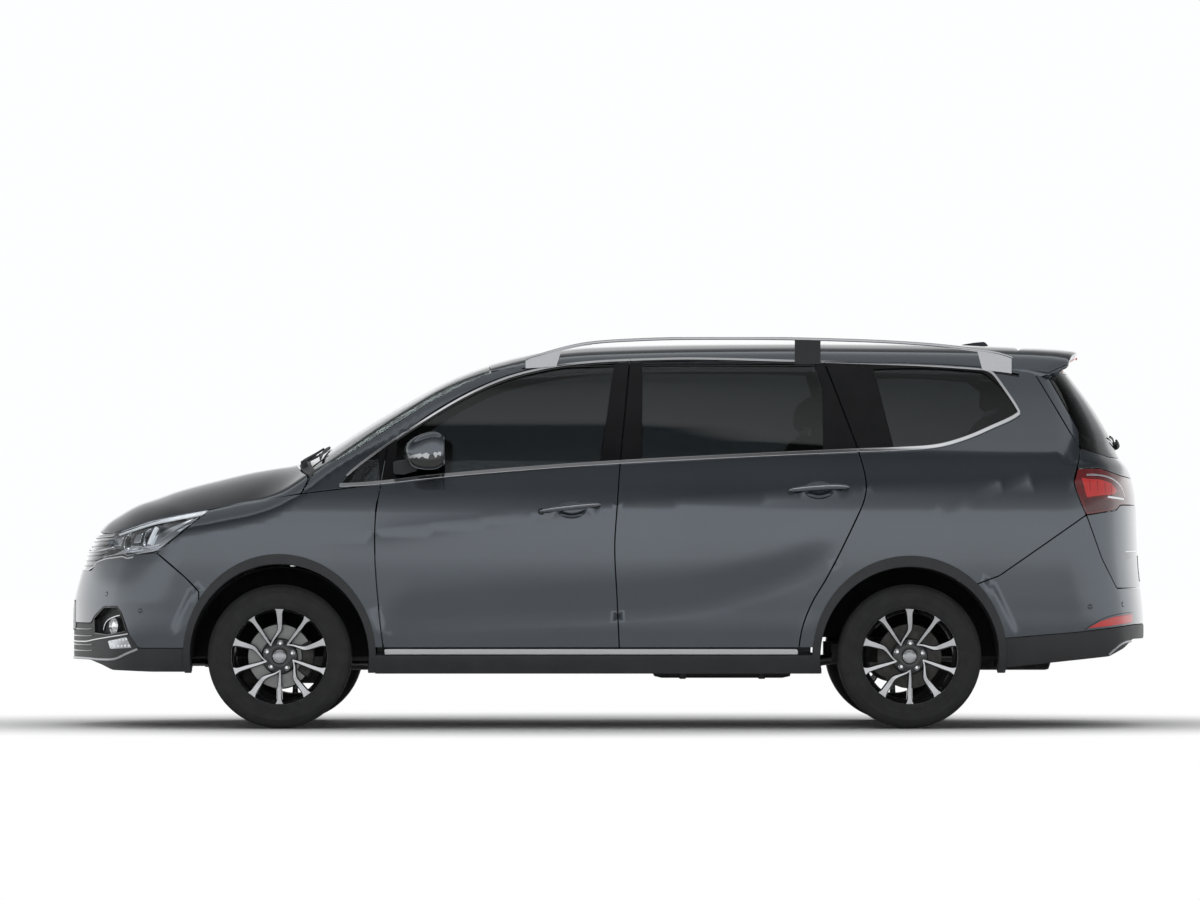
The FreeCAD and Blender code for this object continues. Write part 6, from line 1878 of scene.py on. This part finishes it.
def steering():
    """The steering wheel with its boss, spokes and stalks, square to its leaning column."""
    centre, lean = np.array([-690.0, -360.0, 990.0]), math.radians(25)
    way = np.array([-math.cos(lean), 0, -math.sin(lean)])
    across = np.array([0, 1.0, 0])
    up = np.cross(way, across)
    ring = [centre + 170 * (math.cos(a) * across + math.sin(a) * up)
            for a in np.linspace(0, 2 * math.pi, 72, endpoint=False)]
    made = solid("steering_rim", *tube(ring, 14.5, 16, closed=True), TRIM, angle=60)
    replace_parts(made, "steering_wheel")
    boss = [(0, -34), (44, -32), (66, -22), (74, 0), (70, 22), (40, 34), (0, 36)]
    solid("steering_boss", *lathe(boss, centre + way * 6, way, 40), TRIM, angle=40)
    for k, a in enumerate((math.pi * .02, math.pi * .98, math.pi * 1.5)):
        arm_way = math.cos(a) * across + math.sin(a) * up
        s = np.linspace(60, 164, 8)
        for name, drop, radii, count, flat, look in (("spoke", 10, [20, 13], 12, .5, TRIM),
                                                     ("spoke_trim", -1, [9, 5], 8, .4, SATIN)):
            line = [centre + arm_way * t + way * drop for t in s]
            solid("steering_%s_%d" % (name, k), *tube(line, np.interp(s, [60, 164], radii), count, flat=flat), look,
                  angle=60)
    column = [centre + way * t for t in np.linspace(30, 150, 6)]
    solid("steering_column", *tube(column, 34, 20), TRIM, angle=60)
    stalk = centre + way * 60
    for k, s in enumerate((-1, 1)):
        line = [stalk + across * s * t + up * (-t * .12) for t in (30, 90, 170)]
        solid("steering_stalk_%d" % k, *tube(line, [7, 8, 9], 12), BLACK_PLASTIC, angle=60)


def door_linings():
    """The inner faces of the doors: a pad with its armrest, lever and pocket."""
    for door, pair, label in DOOR_PAIRS:
        pane = front_glass if label == "front_door" else rear_glass
        sheet(label + "_lining", "side", [shrink(door, 30)], [pane], TRIM, pair, pitch=40, gap=0, lip=12, depth=55,
              soft=2)
        x0, x1 = (near(425, 0)[0], near(600, 0)[0]) if label == "front_door" else (near(652, 0)[0], near(800, 0)[0])
        z = 735.0
        y = lift("side", np.array([[(x0 + x1) / 2, z]]), 60)[0][1]
        rest = [(x0, z - 60), (x1 - 60, z - 40), (x1, z + 2), (x0 + 40, z + 12), (x0, z)]
        both(label + "_armrest", prism(rest, y - 4, y + 46), TRIM_CLOTH, pair, bevel=9, angle=50)
        both(label + "_lever", box_of((x0 + 70, y - 2, z + 96), (x0 + 180, y + 14, z + 120)), CHROME, pair, bevel=5)
        both(label + "_pocket", box_of((x0 + 10, y - 2, z - 330), (x1 - 40, y + 38, z - 210)), TRIM, pair, bevel=8)


cabin()
door_linings()


def engine_bay():
    """What shows when the hood is up, on the plain engine block."""
    carry("engine", IRON)
    solid("engine_cover", *cushion((-2080, -330, 842), (-1650, 290, 884), 18), BLACK_PLASTIC, angle=50)
    ribs = [box_of((-2050, y - 5, 880), (-1680, y + 5, 890)) for y in range(-300, 280, 48)]
    solid("engine_cover_ribs", *merged(*ribs), BLACK_PLASTIC, bevel=2)
    solid("oil_cap", *lathe([(0, 22), (26, 20), (28, 8), (24, 0)], (-1960, -150, 886), (0, 0, 1), 28), TRIM, angle=40)
    hose = dense([(-2000, 300, 850), (-2080, 380, 840), (-2150, 360, 760), (-2170, 300, 700)], 20, True)
    solid("coolant_hose", *tube(np.array(hose), 19, 16), RUBBER, angle=70)
    intake = dense([(-1700, 240, 870), (-1700, 380, 872), (-1760, 470, 850), (-1850, 490, 830)], 20, True)
    solid("air_hose", *tube(np.array(intake), 34, 18), RUBBER, angle=70)
    solid("air_box", *cushion((-1960, 400, 660), (-1740, 620, 845), 16), BLACK_PLASTIC, angle=50)
    solid("battery", *box_of((-1960, -620, 660), (-1760, -440, 838)), BLACK_PLASTIC, bevel=6)
    posts = [lathe([(0, 14), (9, 13), (10, 0)], (x, -480, 838), (0, 0, 1), 16) for x in (-1920, -1800)]
    solid("battery_posts", *merged(*posts), STEEL, angle=40)
    trays = box_of((-1985, -640, 640), (-1735, -420, 662)), box_of((-1985, 390, 640), (-1720, 640, 662))
    solid("bay_trays", *merged(*trays), IRON, bevel=3)
    solid("radiator", *box_of((-2190, -360, 330), (-2150, 360, 800)), STEEL, bevel=3)
    fins = [box_of((-2194, -340, 345 + k * 22), (-2188, 340, 349 + k * 22)) for k in range(20)]
    solid("radiator_fins", *merged(*fins), STEEL)
    solid("slam_panel", *box_of((-2200, -560, 800), (-2120, 560, 826)), PAINT, bevel=5)
    bottle = cushion((-1560, 470, 700), (-1440, 600, 850), 22)
    solid("expansion_bottle", *bottle, REFLECTOR, angle=50)
    solid("expansion_cap", *lathe([(0, 24), (24, 22), (27, 4), (26, 0)], (-1500, 535, 850), (0, 0, 1), 24),
          BLACK_PLASTIC, angle=40)


def arch_shields():
    """Felt from the arch edges in to the liners, so that no light shows round the wheels."""
    for label, arch, inner_y in (("front", ARCHES[0], -735.0), ("rear", ARCHES[1], -560.0)):
        loop = ellipse_loop(*arch[:3])
        middle = loop.mean(0)
        loop = loop[loop[:, 1] > 262]
        start = int(np.argmax(np.linalg.norm(np.diff(np.concatenate([loop, loop[:1]]), axis=0), axis=1))) + 1
        loop = np.roll(loop, -start, 0)
        outer = on_side(loop)
        rim = outer + np.array([0, 13.0, 0])
        inner = outer.copy()
        inner[:, 1] = inner_y
        near_wheel = middle + (loop - middle) * .992
        inner[:, 0], inner[:, 2] = near_wheel[:, 0], near_wheel[:, 1]
        n = len(loop)
        points = np.concatenate([rim, inner])
        faces = [(k, k + 1, n + k + 1, n + k) for k in range(n - 1)]
        both("arch_shield_" + label, (points, faces), FELT, angle=60)


def underneath():
    """Tank, exhaust and what the kept solids show from below."""
    arch_shields()
    carry("wheel_liners", FELT)
    tank = cushion((197, -448, 214), (813, 268, 288), 26)
    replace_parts(solid("fuel_tank_shell", *tank, TRIM, angle=50), "fuel_tank")
    straps = [box_of((x - 14, -452, 210), (x + 14, 272, 289)) for x in (330, 680)]
    solid("fuel_tank_straps", *merged(*straps), IRON, bevel=3)
    pipe = dense([(-1190, 400, 262), (-400, 400, 258), (800, 400, 258), (1050, 395, 290), (1380, 390, 300),
                  (1620, 400, 296)], 40, True)
    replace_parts(solid("exhaust_pipe", *tube(np.array(pipe), 25, 16), STEEL, angle=60), "exhaust")
    solid("silencer", *lathe([(0, 0), (40, 2), (62, 10), (66, 24), (66, 372), (62, 388), (40, 396), (0, 398)],
                             (1616, 400, 302), (1.0, 0, 0), 40), IRON, angle=40)
    carry("front_subframe", IRON)
    carry("rear_axle", IRON)
    carry("roof_rails", SATIN)


FELT = material("liner_felt", "black_plastic", (.014, .014, .015), .95, grain=1.0, grain_scale=900, vary=.2)
engine_bay()
underneath()


# Of each lamp: its name, place, width and depth in metres, power in watts, and the place it faces
LAMPS = (("overhead", (0, 0, 5.2), 7.0, 3.2, 230.0, (0, 0, 0)),
         ("front_side", (-2.5, -9.0, 5.5), 5.0, 2.5, 160.0, (0, 0, .8)),
         ("far_side", (2.5, 9.0, 5.5), 5.0, 2.5, 160.0, (0, 0, .8)))
# Of the room: height in degrees and brightness there
ROOM_STOPS = ((-90, .55), (-6, .60), (-2.5, 1.0), (7, 1.0), (10, .55), (22, .28), (36, .14), (44.0, .06),
              (46.0, .06), (46.8, .95), (60, .42), (68, .42), (78, .45), (90, .45))
FLOOR_HALF = 90.0


def studio():
    """A lit room that grows dark overhead, a floor that turns white with distance and is left grey near the car as a
    painted shadow, and three soft lamps.
    """
    world = bpy.data.worlds.new("studio")
    bpy.context.scene.world = world
    world.use_nodes = True
    nodes, links = world.node_tree.nodes, world.node_tree.links
    way = nodes.new("ShaderNodeTexCoord").outputs["Generated"]
    split = nodes.new("ShaderNodeSeparateXYZ")
    links.new(way, split.inputs["Vector"])
    spread = nodes.new("ShaderNodeMapRange")
    spread.inputs["From Min"].default_value = -1
    links.new(split.outputs["Z"], spread.inputs["Value"])
    ramp = nodes.new("ShaderNodeValToRGB")
    ramp.color_ramp.interpolation = "LINEAR"
    while len(ramp.color_ramp.elements) < len(ROOM_STOPS):
        ramp.color_ramp.elements.new(.5)
    for stop, (height, _) in zip(ramp.color_ramp.elements, ROOM_STOPS):
        stop.position = (math.sin(math.radians(height)) + 1) / 2
    for stop, (_, level) in zip(ramp.color_ramp.elements, ROOM_STOPS):
        stop.color = (level * .985, level * .995, level, 1)
    links.new(spread.outputs["Result"], ramp.inputs["Fac"])
    links.new(ramp.outputs["Color"], nodes["Background"].inputs["Color"])
    nodes["Background"].inputs["Strength"].default_value = 1.0
    floor_mesh = bpy.data.meshes.new("studio_floor")
    corners = [(FLOOR_HALF * x, FLOOR_HALF * y, 0) for x, y in ((-1, -1), (1, -1), (1, 1), (-1, 1))]
    floor_mesh.from_pydata(corners, [], [(0, 1, 2, 3)])
    floor = bpy.data.objects.new("studio_floor", floor_mesh)
    bpy.context.scene.collection.objects.link(floor)
    # The floor's own grey shows near the car as a painted shadow; farther off, white is mixed over it.
    floor_look = material("floor", "stage", (.50, .50, .50), .7, vary=.01, grain=0, rough_vary=.02, spec=.1)
    whiten(floor_look)
    floor_mesh.materials.append(floor_look)
    for label, place, wide, deep, power, aim in LAMPS:
        light = bpy.data.lights.new(label, "AREA")
        light.shape = "RECTANGLE"
        light.size, light.size_y = wide, deep
        light.energy = power
        lamp = bpy.data.objects.new(label, light)
        lamp.visible_glossy = False
        bpy.context.scene.collection.objects.link(lamp)
        lamp.location = place
        way = Vector(aim) - Vector(place)
        lamp.rotation_euler = way.to_track_quat("-Z", "Y").to_euler()


# Distances in metres over which the floor turns white, along Y; they reach farther along X. Nearer than these the floor
# keeps its grey: a painted shadow round the car, and a painted dark floor in the reflections on the body's lower sides.
WHITE_SEEN, WHITE_MIRRORED, FLOOR_SHAPE = (1.15, 2.7), (3.0, 11.0), (.62, 1, 0)


def whiten(m):
    """Turns the floor white with distance: near the part for the camera and through glass, farther off in mirrors. The
    grey left near the car is a painted shadow, and the grey that mirrors see farther out paints the body's lower
    reflections dark.
    """
    nodes, links, shader = nodes_of(m)
    length = nodes.new("ShaderNodeVectorMath")
    length.operation = "LENGTH"
    flat = nodes.new("ShaderNodeVectorMath")
    flat.operation = "MULTIPLY"
    flat.inputs[1].default_value = FLOOR_SHAPE
    links.new(nodes["Texture Coordinate"].outputs["Object"], flat.inputs[0])
    links.new(flat.outputs["Vector"], length.inputs[0])
    reaches = []
    for start, end in (WHITE_SEEN, WHITE_MIRRORED):
        reach = nodes.new("ShaderNodeMapRange")
        reach.interpolation_type = "SMOOTHSTEP"
        reach.inputs["From Min"].default_value = start
        reach.inputs["From Max"].default_value = end
        links.new(length.outputs["Value"], reach.inputs["Value"])
        reaches.append(reach)
    grow, far = reaches
    seen = nodes.new("ShaderNodeLightPath")
    parts = []
    for ray, reach in (("Is Camera Ray", grow), ("Is Transmission Ray", grow), ("Is Glossy Ray", far)):
        part = nodes.new("ShaderNodeMath")
        part.operation = "MULTIPLY"
        links.new(seen.outputs[ray], part.inputs[0])
        links.new(reach.outputs["Result"], part.inputs[1])
        parts.append(part)
    share = parts[0]
    for part in parts[1:]:
        both_of = nodes.new("ShaderNodeMath")
        both_of.operation = "MAXIMUM"
        links.new(share.outputs["Value"], both_of.inputs[0])
        links.new(part.outputs["Value"], both_of.inputs[1])
        share = both_of
    white = nodes.new("ShaderNodeEmission")
    white.inputs["Strength"].default_value = 1.0
    mix = nodes.new("ShaderNodeMixShader")
    links.new(share.outputs["Value"], mix.inputs["Fac"])
    links.new(shader.outputs["BSDF"], mix.inputs[1])
    links.new(white.outputs["Emission"], mix.inputs[2])
    links.new(mix.outputs["Shader"], nodes["Material Output"].inputs["Surface"])


CAMERA_LENS, CAMERA_PLACE, CAMERA_TILT, CAMERA_TURN = 206.4, (-.1106, -.87 - 30.0, .749), .891, -.1416


def camera():
    """The photo's view: square to the left side, from 30 m away through a long lens."""
    view = bpy.data.cameras.new("camera")
    view.sensor_width = 36
    view.lens = CAMERA_LENS
    view.clip_end = 200
    obj = bpy.data.objects.new("camera", view)
    bpy.context.scene.collection.objects.link(obj)
    obj.location = CAMERA_PLACE
    obj.rotation_euler = (math.radians(90 + CAMERA_TILT), 0, math.radians(CAMERA_TURN))
    bpy.context.scene.camera = obj
    bpy.context.scene.view_settings.view_transform = "Standard"


studio()
camera()
